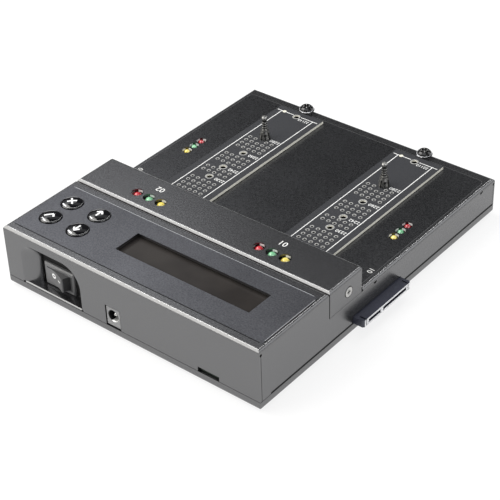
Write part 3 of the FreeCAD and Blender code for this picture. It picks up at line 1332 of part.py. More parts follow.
# ---------------------------------------------------------------- write every piece
save("base_tray", base_tray())
save("rubber_feet", *rubber_feet())
save("tray_screws", *tray_screws())
save("cover_standoffs", *cover_standoffs())
save("upper_cover", upper_cover())
save("bridge_cover", bridge_cover())
save("bridge_screws", *bridge_screws())
save("panel_overlay", panel_overlay())

receptacle = sata_shape()
contacts = sata_contact_shapes()
for name, sign in SIDES.items():
    save("m2_board_" + name, m2_board(sign))
    save("m2_pad_" + name, m2_pad(sign))
    save("m2_socket_" + name, m2_socket(sign))
    save("m2_link_" + name, m2_link_header(sign))
    save("post_collet_" + name, post_collet(sign))
    save("post_pin_" + name, post_pin(sign))
    save("sata_receptacle_" + name, placed_sata(receptacle, sign))
    save("sata_contacts_" + name, *[placed_sata(blade, sign) for blade in contacts])
save("end_screws", *end_screws())
save("end_screw_standoffs", *end_screw_standoffs())

for colour, step in (("red", -1), ("green", 0), ("amber", 1)):
    save("leds_" + colour, *lamps(step))
save("bridge_led_boards", *bridge_led_boards())
save("deck_led_boards", *deck_led_boards())
save("led_spacers", *led_spacers())
save("led_leads", *led_leads())

for name, (x, y) in key_places().items():
    save(name, key_cap(x, y), key_actuator(x, y))
save("keypad_switches", *keypad_switches())
save("keypad_board", keypad_board())
save("keypad_spacers", *keypad_spacers())
save("lcd_glass", lcd_glass())
save("lcd_light_guide", lcd_light_guide())
save("lcd_frame", lcd_frame())
save("lcd_board", lcd_board())
save("lcd_spacers", *lcd_spacers())
save("lcd_ribbon", ribbon(X_LCD, lcd_edges()[2] + RIBBON_THICK, lcd_board_top() - BOARD_THICK))
save("keypad_ribbon", ribbon(X_KEYPAD, keypad_edges()[2] + RIBBON_THICK, keypad_top() - BOARD_THICK))

save("switch_housing", switch_housing())
save("switch_rocker", switch_rocker())
save("switch_terminals", *switch_terminals())
save("switch_leads", *switch_leads())
save("dc_jack", dc_jack())
save("dc_jack_pin", dc_jack_pin())
save("card_socket", card_socket())
save("power_board", power_board())
save("main_board", main_board())
save("board_spacers", *board_spacers())
save("board_screws", *board_screws())
save("main_chips", *main_chips())
save("capacitors", *capacitors())
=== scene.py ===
"""The finish of the drive duplicator: its materials, print, small trim, light and camera."""
import math

import bmesh
import bpy
from mathutils import Matrix, Vector
from mathutils.bvhtree import BVHTree


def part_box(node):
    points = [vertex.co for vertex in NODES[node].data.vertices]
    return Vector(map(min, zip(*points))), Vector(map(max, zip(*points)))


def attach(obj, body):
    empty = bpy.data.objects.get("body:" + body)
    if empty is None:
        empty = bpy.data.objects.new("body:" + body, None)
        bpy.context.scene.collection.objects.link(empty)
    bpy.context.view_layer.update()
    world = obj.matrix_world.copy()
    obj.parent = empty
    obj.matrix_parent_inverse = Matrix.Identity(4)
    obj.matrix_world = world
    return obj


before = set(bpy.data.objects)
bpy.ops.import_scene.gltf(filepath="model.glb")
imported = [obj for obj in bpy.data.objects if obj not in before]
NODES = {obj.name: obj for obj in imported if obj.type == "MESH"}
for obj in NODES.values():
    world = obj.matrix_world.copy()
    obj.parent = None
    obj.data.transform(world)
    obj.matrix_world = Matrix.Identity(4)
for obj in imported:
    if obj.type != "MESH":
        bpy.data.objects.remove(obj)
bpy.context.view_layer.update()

MM = 0.001


# ---------------------------------------------------------------- places read from the imported parts
def mm_box(node):
    low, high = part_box(node)
    return low / MM, high / MM


def middle_of(node):
    low, high = mm_box(node)
    return (low + high) / 2


COVER_LOW, COVER_HIGH = mm_box("upper_cover")
BRIDGE_LOW, BRIDGE_HIGH = mm_box("bridge_cover")
OVERLAY_LOW, OVERLAY_HIGH = mm_box("panel_overlay")
DECK_Z = mm_box("m2_pad_source")[0].z
TOP_Z = BRIDGE_HIGH.z
SIDES = {"source": -1, "target": 1}
RECEPTACLE_FACE = mm_box("sata_receptacle_target")[1].x
JACK_BORE = 3.7
GROOVE_RADIUS = 1.52           # just outside the floor of the pin's grooves
BOARD_MIDDLE = middle_of("m2_board_target").x
BOARD_TOP = mm_box("m2_board_target")[1].z


# ---------------------------------------------------------------- node materials
class Shader:
    """A small wrapper round one node material."""

    def __init__(self, name, rough, metallic=0.0, specular=0.5, coat=0.0, coat_rough=0.1):
        self.material = bpy.data.materials.new(name)
        self.material.use_nodes = True
        self.tree = self.material.node_tree
        self.bsdf = self.tree.nodes["Principled BSDF"]
        self.bsdf.inputs["Roughness"].default_value = rough
        self.bsdf.inputs["Metallic"].default_value = metallic
        self.bsdf.inputs["Specular IOR Level"].default_value = specular
        self.bsdf.inputs["Coat Weight"].default_value = coat
        self.bsdf.inputs["Coat Roughness"].default_value = coat_rough
        self.coords = self.tree.nodes.new("ShaderNodeTexCoord").outputs["Object"]

    def link(self, source, target):
        self.tree.links.new(source, target)

    def noise(self, per_metre, detail=2.0, roughness=0.5):
        node = self.tree.nodes.new("ShaderNodeTexNoise")
        node.inputs["Scale"].default_value = per_metre
        node.inputs["Detail"].default_value = detail
        node.inputs["Roughness"].default_value = roughness
        self.link(self.coords, node.inputs["Vector"])
        return node.outputs["Fac"]

    def ramp(self, value, stops):
        node = self.tree.nodes.new("ShaderNodeValToRGB")
        ramp = node.color_ramp
        while len(ramp.elements) < len(stops):
            ramp.elements.new(0.5)
        for element, (position, colour) in zip(ramp.elements, stops):
            element.position = position
            element.color = (*colour, 1.0)
        self.link(value, node.inputs["Fac"])
        return node.outputs["Color"]

    def math(self, operation, first, second):
        node = self.tree.nodes.new("ShaderNodeMath")
        node.operation = operation
        for socket, value in zip(node.inputs, (first, second)):
            if isinstance(value, (int, float)):
                socket.default_value = value
            else:
                self.link(value, socket)
        return node.outputs["Value"]

    def mix(self, factor, first, second):
        node = self.tree.nodes.new("ShaderNodeMix")
        node.data_type = "RGBA"
        self.link(factor, node.inputs[0])
        for socket, value in ((node.inputs[6], first), (node.inputs[7], second)):
            if isinstance(value, tuple):
                socket.default_value = (*value, 1.0)
            else:
                self.link(value, socket)
        return node.outputs[2]

    def absolute(self, value):
        return self.math("ABSOLUTE", value, 0.0)

    def squared_length(self, first, second):
        return self.math("ADD", self.math("MULTIPLY", first, first), self.math("MULTIPLY", second, second))

    def axis(self, source, name):
        node = self.tree.nodes.new("ShaderNodeSeparateXYZ")
        self.link(source, node.inputs["Vector"])
        return node.outputs[name]

    def position(self, name):
        return self.axis(self.coords, name)

    def beyond(self, value, place_mm):
        """How far a coordinate lies past a place, in metres."""
        return self.math("SUBTRACT", value, place_mm * MM)

    def normal_axis(self, name):
        return self.axis(self.tree.nodes.new("ShaderNodeNewGeometry").outputs["True Normal"], name)

    def colour(self, socket):
        self.link(socket, self.bsdf.inputs["Base Color"])

    def roughness(self, value, low, high):
        node = self.tree.nodes.new("ShaderNodeMapRange")
        node.inputs["To Min"].default_value = low
        node.inputs["To Max"].default_value = high
        self.link(value, node.inputs["Value"])
        self.link(node.outputs["Result"], self.bsdf.inputs["Roughness"])

    def bump(self, value, height_mm):
        node = self.tree.nodes.new("ShaderNodeBump")
        node.inputs["Strength"].default_value = 1.0
        node.inputs["Distance"].default_value = height_mm * MM
        self.link(value, node.inputs["Height"])
        self.link(node.outputs["Normal"], self.bsdf.inputs["Normal"])


def grained(name, dark, light, rough, metallic=0.0, specular=0.5, grain=2100.0, height=0.02, coat=0.0):
    """Powder coat or moulded plastic: fine speckle in colour, gloss and height."""
    shader = Shader(name, rough, metallic, specular, coat)
    fine = shader.noise(grain, 3.0, 0.6)
    broad = shader.noise(grain / 40, 2.0)
    blend = shader.math("ADD", shader.math("MULTIPLY", fine, 0.8), shader.math("MULTIPLY", broad, 0.2))
    shader.colour(shader.ramp(blend, [(0.3, dark), (0.7, light)]))
    shader.roughness(blend, rough - 0.05, rough + 0.07)
    shader.bump(fine, height)
    return shader.material


def metal(name, dark, light, rough, grain=900.0):
    shader = Shader(name, rough, 1.0)
    brushed = shader.noise(grain, 4.0, 0.65)
    shader.colour(shader.ramp(brushed, [(0.3, dark), (0.7, light)]))
    shader.roughness(brushed, rough - 0.06, rough + 0.1)
    shader.bump(brushed, 0.006)
    return shader.material


def lens(name, deep, pale):
    """Tinted clear epoxy whose colour swirls at random between deep and pale."""
    shader = Shader(name, 0.06, specular=0.7, coat=1.0, coat_rough=0.03)
    swirl = shader.noise(260.0, 2.0)
    shader.colour(shader.ramp(swirl, [(0.3, deep), (0.72, pale)]))
    shader.bsdf.inputs["Subsurface Weight"].default_value = 0.35
    shader.bsdf.inputs["Subsurface Radius"].default_value = (0.0015, 0.0015, 0.0015)
    shader.bump(swirl, 0.01)
    return shader.material


def paint_material():
    """Satin powder coat: even on the upright walls, finely speckled where it lies flat."""
    shader = Shader("case_powder_coat", 0.26, 0.955)
    fine = shader.noise(1300.0, 2.0, 0.5)
    flat = shader.math("GREATER_THAN", shader.normal_axis("Z"), 0.998)
    even = shader.ramp(fine, [(0.3, (0.162, 0.162, 0.165)), (0.7, (0.170, 0.170, 0.173))])
    speckled = shader.ramp(fine, [(0.40, (0.128, 0.129, 0.135)), (0.60, (0.208, 0.209, 0.217))])
    shader.colour(shader.mix(flat, even, speckled))
    shader.roughness(fine, 0.26, 0.27)
    shader.bump(fine, 0.0001)
    return shader.material


PAINT = paint_material()
DECK_PRINT = grained("deck_label_film", (0.075, 0.076, 0.081), (0.165, 0.167, 0.175), 0.27,
                     metallic=0.97, grain=1300.0, height=0.0006)
PANEL_PRINT = grained("panel_label_film", (0.090, 0.092, 0.102), (0.205, 0.208, 0.228), 0.31,
                      metallic=0.94, grain=1300.0, height=0.0006)
# Black moulding, also used for painted shade on the rocker's end and the bezel.
BLACK_PLASTIC_AND_SHADE = grained("moulded_black_and_painted_shade", (0.010, 0.010, 0.011), (0.022, 0.022, 0.024), 0.42,
                        grain=1400.0, height=0.015)
SWITCH_PLASTIC = grained("switch_moulding", (0.100, 0.100, 0.103), (0.140, 0.140, 0.144), 0.34,
                         grain=1500.0, height=0.006)
CARD_SHELL = metal("card_shell", (0.20, 0.20, 0.20), (0.32, 0.32, 0.31), 0.3)
NAVY_PLASTIC = grained("connector_plastic", (0.020, 0.022, 0.034), (0.038, 0.041, 0.060), 0.34,
                       grain=1200.0, height=0.01)
GLOSS_BLACK = grained("key_gloss_black", (0.002, 0.002, 0.003), (0.004, 0.004, 0.005), 0.04,
                      grain=500.0, height=0.0005, coat=0.4)
SCREW_BLACK = grained("screw_black_zinc", (0.02, 0.02, 0.021), (0.05, 0.05, 0.052), 0.12,
                      metallic=0.8, specular=0.6, grain=900.0, height=0.003, coat=0.6)
RUBBER = grained("foot_rubber", (0.012, 0.012, 0.012), (0.028, 0.028, 0.027), 0.75,
                 specular=0.3, grain=1300.0, height=0.03)
STEEL = metal("turned_steel", (0.42, 0.42, 0.41), (0.62, 0.61, 0.59), 0.3)
POST_STEEL = metal("post_nickel", (0.20, 0.20, 0.195), (0.36, 0.355, 0.34), 0.3)
GOLD = metal("contact_gold", (0.62, 0.46, 0.18), (0.82, 0.64, 0.3), 0.22)
SILK = grained("white_print", (0.66, 0.66, 0.65), (0.86, 0.86, 0.85), 0.5,
               specular=0.4, grain=2500.0, height=0.004)
GLYPH = grained("key_glyph_white", (0.80, 0.80, 0.80), (0.92, 0.92, 0.92), 0.4,
                specular=0.4, grain=2500.0, height=0.003)
# White print on the deck, also used for painted glints on the end screws.
DIM_PRINT_AND_GLINT = grained("white_print_and_painted_glint", (0.5, 0.5, 0.49), (0.7, 0.7, 0.69), 0.5,
                   specular=0.4, grain=2500.0, height=0.004)
TINNED = grained("tinned_pad", (0.32, 0.32, 0.315), (0.46, 0.455, 0.44), 0.34,
                 metallic=0.25, grain=1600.0, height=0.004)
# Painted highlight for the lit walls of the lamp holes.
LAMP_WELL_HIGHLIGHT = grained("lamp_well_painted_highlight", (0.66, 0.66, 0.65), (0.84, 0.84, 0.83), 0.2,
                       grain=1800.0, height=0.004)
# Near-black painted shade, laid in holes, slots, recesses and gaps where shade falls.
PAINTED_SHADE = grained("shadow_liner", (0.004, 0.004, 0.004), (0.008, 0.008, 0.008), 0.7,
                   specular=0.2, grain=1800.0, height=0.01)
# Pale colour for painted highlights: the panel film's rim and the end screws' rims.
PALE_HIGHLIGHT = grained("pale_painted_highlight", (0.38, 0.39, 0.41), (0.5, 0.51, 0.53), 0.3,
                    grain=1800.0, height=0.004)
DECK_RIM = grained("deck_film_rim", (0.10, 0.10, 0.105), (0.15, 0.15, 0.155), 0.35,
                   metallic=0.3, grain=1800.0, height=0.002)
CUT_EDGE = grained("board_cut_edge", (0.62, 0.60, 0.50), (0.80, 0.78, 0.68), 0.45,
                   specular=0.4, grain=1600.0, height=0.006)


def board_material():
    """Black solder mask on top, cream laminate where the board is cut, and painted shade low in its holes."""
    shader = Shader("black_circuit_board", 0.36, 0.0, 0.4)
    weave = shader.noise(1900.0, 2.0)
    mask = shader.ramp(weave, [(0.3, (0.022, 0.023, 0.026)), (0.7, (0.040, 0.041, 0.046))])
    laminate = shader.ramp(weave, [(0.3, (0.72, 0.70, 0.60)), (0.7, (0.88, 0.86, 0.77))])
    upright = shader.math("LESS_THAN", shader.absolute(shader.normal_axis("Z")), 0.5)
    edged = shader.mix(upright, mask, laminate)
    across = shader.beyond(shader.absolute(shader.position("X")), BOARD_MIDDLE)
    barrel = shader.math("LESS_THAN", shader.absolute(across), 4.0 * MM)
    deep = shader.math("LESS_THAN", shader.position("Z"), (BOARD_TOP - 0.85) * MM)
    # Painted shade: the hole walls turn near black low down.
    painted_hole_shade = shader.math("MULTIPLY", upright, shader.math("MULTIPLY", barrel, deep))
    shader.colour(shader.mix(painted_hole_shade, edged, (0.006, 0.006, 0.006)))
    shader.roughness(weave, 0.34, 0.46)
    shader.bump(weave, 0.006)
    return shader.material


def hidden_board_material():
    """Dark laminate of the boards inside the case, darkened further as painted shade."""
    shader = Shader("inner_circuit_board", 0.45, 0.0)
    weave = shader.noise(1900.0, 2.0)
    shader.colour(shader.ramp(weave, [(0.3, (0.008, 0.013, 0.010)), (0.7, (0.014, 0.022, 0.016))]))
    shader.bump(weave, 0.006)
    return shader.material


def display_material():
    """Dark display glass, faintly clouded."""
    shader = Shader("display_glass", 0.14, 0.0, 0.08)
    cloud = shader.noise(60.0, 2.0)
    shader.colour(shader.ramp(cloud, [(0.3, (0.022, 0.0195, 0.0185)), (0.7, (0.032, 0.0285, 0.0265))]))
    shader.bump(shader.noise(1500.0, 1.0), 0.001)
    return shader.material


def receptacle_material():
    """Navy moulding, with a painted highlight making the outward faces round its mouth pale."""
    shader = Shader("receptacle_navy", 0.34, 0.0)
    grain = shader.noise(1200.0, 2.0)
    body = shader.ramp(grain, [(0.3, (0.024, 0.026, 0.040)), (0.7, (0.042, 0.045, 0.066))])
    painted_face_light = shader.ramp(grain, [(0.3, (0.55, 0.55, 0.56)), (0.7, (0.72, 0.72, 0.73))])
    # Painted highlight: the outward faces at the mouth are coloured pale.
    outward = shader.math("GREATER_THAN", shader.absolute(shader.normal_axis("X")), 0.8)
    reach = shader.absolute(shader.position("X"))
    mouth = shader.math("GREATER_THAN", reach, (RECEPTACLE_FACE - 0.3) * MM)
    shader.colour(shader.mix(shader.math("MULTIPLY", outward, mouth), body, painted_face_light))
    shader.roughness(grain, 0.28, 0.42)
    shader.bump(grain, 0.008)
    return shader.material


def pin_material():
    """Nickel pin with painted shade in its grooves."""
    shader = Shader("post_pin_nickel", 0.34, 1.0)
    turned = shader.noise(900.0, 3.0, 0.6)
    bright = shader.ramp(turned, [(0.3, (0.28, 0.28, 0.27)), (0.7, (0.44, 0.435, 0.42))])
    across = shader.beyond(shader.absolute(shader.position("X")), BOARD_MIDDLE)
    along = shader.beyond(shader.position("Y"), middle_of("post_pin_target").y)
    # Painted shade: near black inside the grooves' radius, below the cap.
    below_cap = (mm_box("post_pin_target")[1].z - 1.9) * MM
    neck = shader.math("LESS_THAN", shader.position("Z"), below_cap)
    inner = shader.math("LESS_THAN", shader.squared_length(across, along), (GROOVE_RADIUS * MM) ** 2)
    painted_groove_shade = shader.math("MULTIPLY", inner, neck)
    shader.colour(shader.mix(painted_groove_shade, bright, (0.05, 0.05, 0.05)))
    shader.roughness(turned, 0.3, 0.42)
    shader.bump(turned, 0.006)
    return shader.material


def jack_material():
    """Grey moulded body; inside the barrel a metal sleeve with a painted highlight below and painted shade
    above.
    """
    shader = Shader("jack_body", 0.32, 0.55)
    grain = shader.noise(1300.0, 3.0, 0.6)
    body = shader.ramp(grain, [(0.3, (0.20, 0.20, 0.202)), (0.7, (0.285, 0.285, 0.287))])
    bright = shader.ramp(grain, [(0.3, (0.74, 0.74, 0.72)), (0.7, (0.86, 0.86, 0.84))])
    pin = middle_of("dc_jack_pin")
    across = shader.beyond(shader.position("X"), pin.x)
    up = shader.beyond(shader.position("Z"), pin.z)
    inside = shader.math("LESS_THAN", shader.squared_length(across, up), (JACK_BORE * MM) ** 2)
    # Painted highlight and painted shade: the sleeve is pale on its lower side and near black on its upper
    # side.
    slant = shader.math("ADD", shader.math("MULTIPLY", across, 0.55), shader.math("MULTIPLY", up, 0.83))
    shaded = shader.math("GREATER_THAN", slant, -1.9 * MM)
    sleeve = shader.mix(shaded, bright, (0.010, 0.010, 0.010))
    face = mm_box("dc_jack")[1].y
    behind = shader.math("LESS_THAN", shader.position("Y"), (face - 0.05) * MM)
    shader.colour(shader.mix(shader.math("MULTIPLY", inside, behind), body, sleeve))
    shader.roughness(grain, 0.27, 0.4)
    shader.bump(grain, 0.008)
    return shader.material


BOARD = board_material()
HIDDEN_BOARD = hidden_board_material()
DISPLAY = display_material()
RECEPTACLE = receptacle_material()
JACK = jack_material()
PIN_STEEL = pin_material()
LENSES = {
    "red": lens("lens_red", (0.28, 0.004, 0.010), (0.55, 0.03, 0.045)),
    "green": lens("lens_green", (0.07, 0.34, 0.14), (0.34, 0.66, 0.42)),
    "amber": lens("lens_amber", (0.66, 0.50, 0.05), (0.92, 0.82, 0.26)),
}

NODE_MATERIALS = {
    PAINT: ["upper_cover", "bridge_cover", "base_tray"],
    JACK: ["dc_jack"],
    PANEL_PRINT: ["panel_overlay"],
    SWITCH_PLASTIC: ["switch_housing", "switch_rocker"],
    BLACK_PLASTIC_AND_SHADE: ["main_chips", "keypad_switches", "m2_pad_source", "m2_pad_target", "m2_link_source",
                    "m2_link_target", "led_leads", "lcd_ribbon", "keypad_ribbon", "switch_leads",
                    "capacitors"],
    CARD_SHELL: ["card_socket"],
    NAVY_PLASTIC: ["m2_socket_source", "m2_socket_target"],
    RECEPTACLE: ["sata_receptacle_source", "sata_receptacle_target"],
    GLOSS_BLACK: ["cancel_button", "confirm_button", "up_button", "down_button"],
    SCREW_BLACK: ["end_screws"],
    RUBBER: ["rubber_feet"],
    STEEL: ["tray_screws", "cover_standoffs", "end_screw_standoffs", "board_spacers", "board_screws",
            "keypad_spacers", "lcd_spacers", "led_spacers", "dc_jack_pin", "switch_terminals",
            "bridge_screws"],
    POST_STEEL: ["post_collet_source", "post_collet_target"],
    PIN_STEEL: ["post_pin_source", "post_pin_target"],
    GOLD: ["sata_contacts_source", "sata_contacts_target"],
    BOARD: ["m2_board_source", "m2_board_target"],
    HIDDEN_BOARD: ["main_board", "power_board", "keypad_board", "lcd_board", "bridge_led_boards",
                   "deck_led_boards"],
    DISPLAY: ["lcd_glass", "lcd_light_guide", "lcd_frame"],
    LENSES["red"]: ["leds_red"],
    LENSES["green"]: ["leds_green"],
    LENSES["amber"]: ["leds_amber"],
}
for look, names in NODE_MATERIALS.items():
    for name in names:
        slots = NODES[name].data.materials
        slots.clear()
        slots.append(look)


# ---------------------------------------------------------------- flat printed pieces
def add_piece(name, mesh, look, body, smooth=False):
    piece = bpy.data.objects.new(name, mesh)
    bpy.context.scene.collection.objects.link(piece)
    mesh.materials.clear()
    mesh.materials.append(look)
    for polygon in mesh.polygons:
        polygon.use_smooth = smooth
    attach(piece, body)
    return piece


def flat_mesh(loops, z, thick):
    """Closed thin plate from loops of (x, y) in mm; a loop inside another one is a hole."""
    curve = bpy.data.curves.new("outline", "CURVE")
    curve.dimensions = "2D"
    curve.fill_mode = "BOTH"
    curve.extrude = thick / 2 * MM
    for loop in loops:
        spline = curve.splines.new("POLY")
        spline.points.add(len(loop) - 1)
        for point, (x, y) in zip(spline.points, loop):
            point.co = (x * MM, y * MM, 0.0, 1.0)
        spline.use_cyclic_u = True
    holder = bpy.data.objects.new("outline", curve)
    mesh = bpy.data.meshes.new_from_object(holder)
    bpy.data.objects.remove(holder)
    bpy.data.curves.remove(curve)
    mesh.transform(Matrix.Translation((0, 0, (z + thick / 2) * MM)))
    weld(mesh)
    return mesh


def weld(mesh):
    work = bmesh.new()
    work.from_mesh(mesh)
    bmesh.ops.remove_doubles(work, verts=work.verts, dist=0.000001)
    bmesh.ops.recalc_face_normals(work, faces=work.faces)
    work.to_mesh(mesh)
    work.free()


def finished(work, name):
    """Turns a closed bmesh into a mesh whose faces look outwards."""
    bmesh.ops.recalc_face_normals(work, faces=work.faces)
    mesh = bpy.data.meshes.new(name)
    work.to_mesh(mesh)
    work.free()
    return mesh


def join_rows(work, one, two, edges):
    """One face between two rows of corners for each edge, given as a pair of places in the row."""
    for first, last in edges:
        work.faces.new((one[first], one[last], two[last], two[first]))


def circle(cx, cy, radius, count=24):
    turns = [2 * math.pi * step / count for step in range(count)]
    return [(cx + radius * math.cos(t), cy + radius * math.sin(t)) for t in turns]


def rectangle(x0, x1, y0, y1):
    return [(x0, y0), (x1, y0), (x1, y1), (x0, y1)]


def rounded(x0, x1, y0, y1, radius, steps=6):
    points = []
    corners = ((x1 - radius, y1 - radius, 0), (x0 + radius, y1 - radius, 90),
               (x0 + radius, y0 + radius, 180), (x1 - radius, y0 + radius, 270))
    for cx, cy, start in corners:
        for step in range(steps + 1):
            turn = math.radians(start + 90 * step / steps)
            points.append((cx + radius * math.cos(turn), cy + radius * math.sin(turn)))
    return points


def upright_mesh(loops, y, thick):
    """Thin upright plate from loops of (x, z) in mm; its outer face is at y + thick."""
    mesh = flat_mesh(loops, 0.0, thick)
    mesh.transform(Matrix(((1, 0, 0, 0), (0, 0, 1, y * MM), (0, 1, 0, 0), (0, 0, 0, 1))))
    weld(mesh)
    return mesh


def side_plate(y0, y1, z0, z1, x, thick, sign):
    """Thin upright plate in the YZ plane; its outer face is at x + thick on the side named by sign."""
    mesh = flat_mesh([rectangle(y0, y1, z0, z1)], 0.0, thick)
    mesh.transform(Matrix(((0, 0, sign, sign * x * MM), (1, 0, 0, 0), (0, 1, 0, 0), (0, 0, 0, 1))))
    weld(mesh)
    return mesh


def number_mesh(text, size, z, thick, centre, turn=0.0):
    """Plain digits as a closed thin mesh, centred on (x, y) in mm."""
    curve = bpy.data.curves.new("digits", "FONT")
    curve.body = text
    curve.size = size * MM
    curve.align_x = "CENTER"
    curve.align_y = "CENTER"
    curve.extrude = thick / 2 * MM
    curve.offset = size * 0.002 * MM
    curve.resolution_u = 3
    holder = bpy.data.objects.new("digits", curve)
    mesh = bpy.data.meshes.new_from_object(holder)
    bpy.data.objects.remove(holder)
    bpy.data.curves.remove(curve)
    place = Matrix.Translation((centre[0] * MM, centre[1] * MM, (z + thick / 2) * MM))
    mesh.transform(place @ Matrix.Rotation(turn, 4, "Z"))
    weld(mesh)
    return mesh


def joined(meshes):
    work = bmesh.new()
    for mesh in meshes:
        work.from_mesh(mesh)
        bpy.data.meshes.remove(mesh)
    result = bpy.data.meshes.new("joined")
    work.to_mesh(result)
    work.free()
    return result


# ---------------------------------------------------------------- strips laid over curved faces
def resampled(points, step, closed):
    """Evenly spaced points along a polyline, in mm."""
    ends = points[1:] + points[:1] if closed else points[1:]
    result = []
    for first, last in zip(points, ends):
        first, last = Vector(first), Vector(last)
        count = max(1, math.ceil((last - first).length / step))
        result += [first.lerp(last, index / count) for index in range(count)]
    if not closed:
        result.append(Vector(points[-1]))
    return result


def ribbon(points, width, place, lift=0.04, closed=False, step=0.45):
    """Closed strip following a polyline; place(u, v, lift) puts each corner on the face in mm."""
    line = resampled(points, step, closed)
    work = bmesh.new()
    rows = []
    for index, here in enumerate(line):
        before = line[index - 1] if closed or index else here
        after = line[(index + 1) % len(line)] if closed or index + 1 < len(line) else here
        along = (after - before).normalized()
        across = Vector((-along.y, along.x)) * width / 2
        row = []
        for height in (lift, -lift):
            for share in (-1, 0, 1):
                spot = here + across * share
                row.append(work.verts.new(place(spot.x, spot.y, height) * MM))
        rows.append(row)
    pairs = list(zip(rows, rows[1:])) + ([(rows[-1], rows[0])] if closed else [])
    for one, two in pairs:
        join_rows(work, one, two, ((0, 1), (1, 2), (2, 5), (5, 4), (4, 3), (3, 0)))
    if not closed:
        for row in (rows[0], rows[-1]):
            work.faces.new((row[0], row[1], row[4], row[3]))
            work.faces.new((row[1], row[2], row[5], row[4]))
    return finished(work, "ribbon")


def surface(node):
    mesh = NODES[node].data
    return BVHTree.FromPolygons([v.co for v in mesh.vertices], [tuple(p.vertices) for p in mesh.polygons])


def from_above(node):
    """Placer that drops (x, y) on to a node from above."""
    tree = surface(node)

    def place(x, y, lift):
        spot = tree.ray_cast(Vector((x, y, 90.0)) * MM, Vector((0, 0, -1)))[0]
        return Vector((x, y, spot.z / MM + lift))
    return place


def from_behind(node):
    """Placer that pushes (x, z) on to a node along -Y."""
    tree = surface(node)

    def place(x, z, lift):
        spot = tree.ray_cast(Vector((x, 130.0, z)) * MM, Vector((0, -1, 0)))[0]
        return Vector((x, spot.y / MM + lift, z))
    return place


def from_wall(node, sign):
    """Placer that pushes (y, z) on to a node from the side named by sign."""
    tree = surface(node)

    def place(y, z, lift):
        spot = tree.ray_cast(Vector((sign * 130.0, y, z)) * MM, Vector((-sign, 0, 0)))[0]
        return Vector((spot.x / MM + sign * lift, y, z))
    return place


def flat_wall(x, sign):
    """Placer that lays (y, z) on the upright plane at x, on the side named by sign."""
    def place(y, z, lift):
        return Vector((sign * (x + lift), y, z))
    return place


def from_side(node, cx, cy, azimuth):
    """Placer that pushes (u, z) on to an upright round node from one side; u runs round it."""
    tree = surface(node)
    out = Vector((math.cos(azimuth), math.sin(azimuth), 0))
    round_way = Vector((-out.y, out.x, 0))

    def place(u, z, lift):
        origin = Vector((cx, cy, z)) + out * 20 + round_way * u
        spot = tree.ray_cast(origin * MM, -out)[0]
        return spot / MM + out * lift
    return place


# ---------------------------------------------------------------- key glyphs and rocker marks
GLYPHS = {
    "cancel": [[(-1.9, -1.9), (1.9, 1.9)], [(-1.9, 1.9), (1.9, -1.9)]],
    "confirm": [[(-2.5, 0.3), (-0.9, -1.6)], [(-0.9, -1.6), (2.5, 2.1)]],
    "up": [[(0, -2.4), (0, 2.2)], [(-1.9, 0.4), (0, 2.5), (1.9, 0.4)]],
    "down": [[(0, 2.4), (0, -2.2)], [(-1.9, -0.4), (0, -2.5), (1.9, -0.4)]],
}


def gloss_cap(node):
    """Smooth clear-coated skin over a key's dome, turned from the dome's own profile."""
    middle = middle_of(node)
    top = mm_box(node)[1].z
    heights = {}
    for vertex in NODES[node].data.vertices:
        spot = vertex.co / MM
        radius = round(math.hypot(spot.x - middle.x, spot.y - middle.y), 2)
        if spot.z > top - 2.0:
            heights[radius] = max(heights.get(radius, 0.0), spot.z)
    profile = sorted((radius, z) for radius, z in heights.items() if radius > 0.3)
    skin, count = 0.03, 72
    edges = [(index, (index + 1) % count) for index in range(count)]
    work = bmesh.new()
    poles = [work.verts.new(Vector((middle.x, middle.y, top + lift)) * MM) for lift in (skin, -skin)]
    tops, bottoms = [], []
    for radius, z in profile:
        for rows, lift in ((tops, skin), (bottoms, -skin)):
            rows.append([work.verts.new(Vector((x, y, z + lift)) * MM)
                         for x, y in circle(middle.x, middle.y, radius, count)])
    for rows, pole in zip((tops, bottoms), poles):
        for first, last in edges:
            work.faces.new((pole, rows[0][first], rows[0][last]))
        for one, two in zip(rows, rows[1:]):
            join_rows(work, one, two, edges)
    join_rows(work, tops[-1], bottoms[-1], edges)
    return finished(work, "cap")


def dress_keys():
    for key, strokes in GLYPHS.items():
        node = key + "_button"
        add_piece(key + "_gloss", gloss_cap(node), GLOSS_BLACK, key + "_key", smooth=True)
        middle = middle_of(node)
        place = from_above(node)
        parts = [ribbon([(middle.x + x, middle.y + y) for x, y in stroke], 1.0, place, 0.1)
                 for stroke in strokes]
        add_piece(key + "_glyph", joined(parts), GLYPH, key + "_key")


def dress_rocker():
    """Ring and bar on the rocker's two halves, and painted shade on its end beside the bezel."""
    middle = middle_of("switch_housing")
    place = from_behind("switch_rocker")
    ring = ribbon(circle(middle.x + 2.9, middle.z + 1.1, 1.15, 20), 0.75, place, closed=True)
    bar = ribbon([(middle.x - 0.8, middle.z + 0.3), (middle.x - 3.2, middle.z + 0.3)], 0.8, place)
    add_piece("rocker_marks", joined([ring, bar]), GLYPH, "rocker")
    end = middle.x - 6.55
    shade = ribbon([(end, middle.z - 4.2), (end, middle.z + 4.2)], 1.7, place)
    add_piece("rocker_end_shade", shade, BLACK_PLASTIC_AND_SHADE, "rocker")


dress_keys()
dress_rocker()


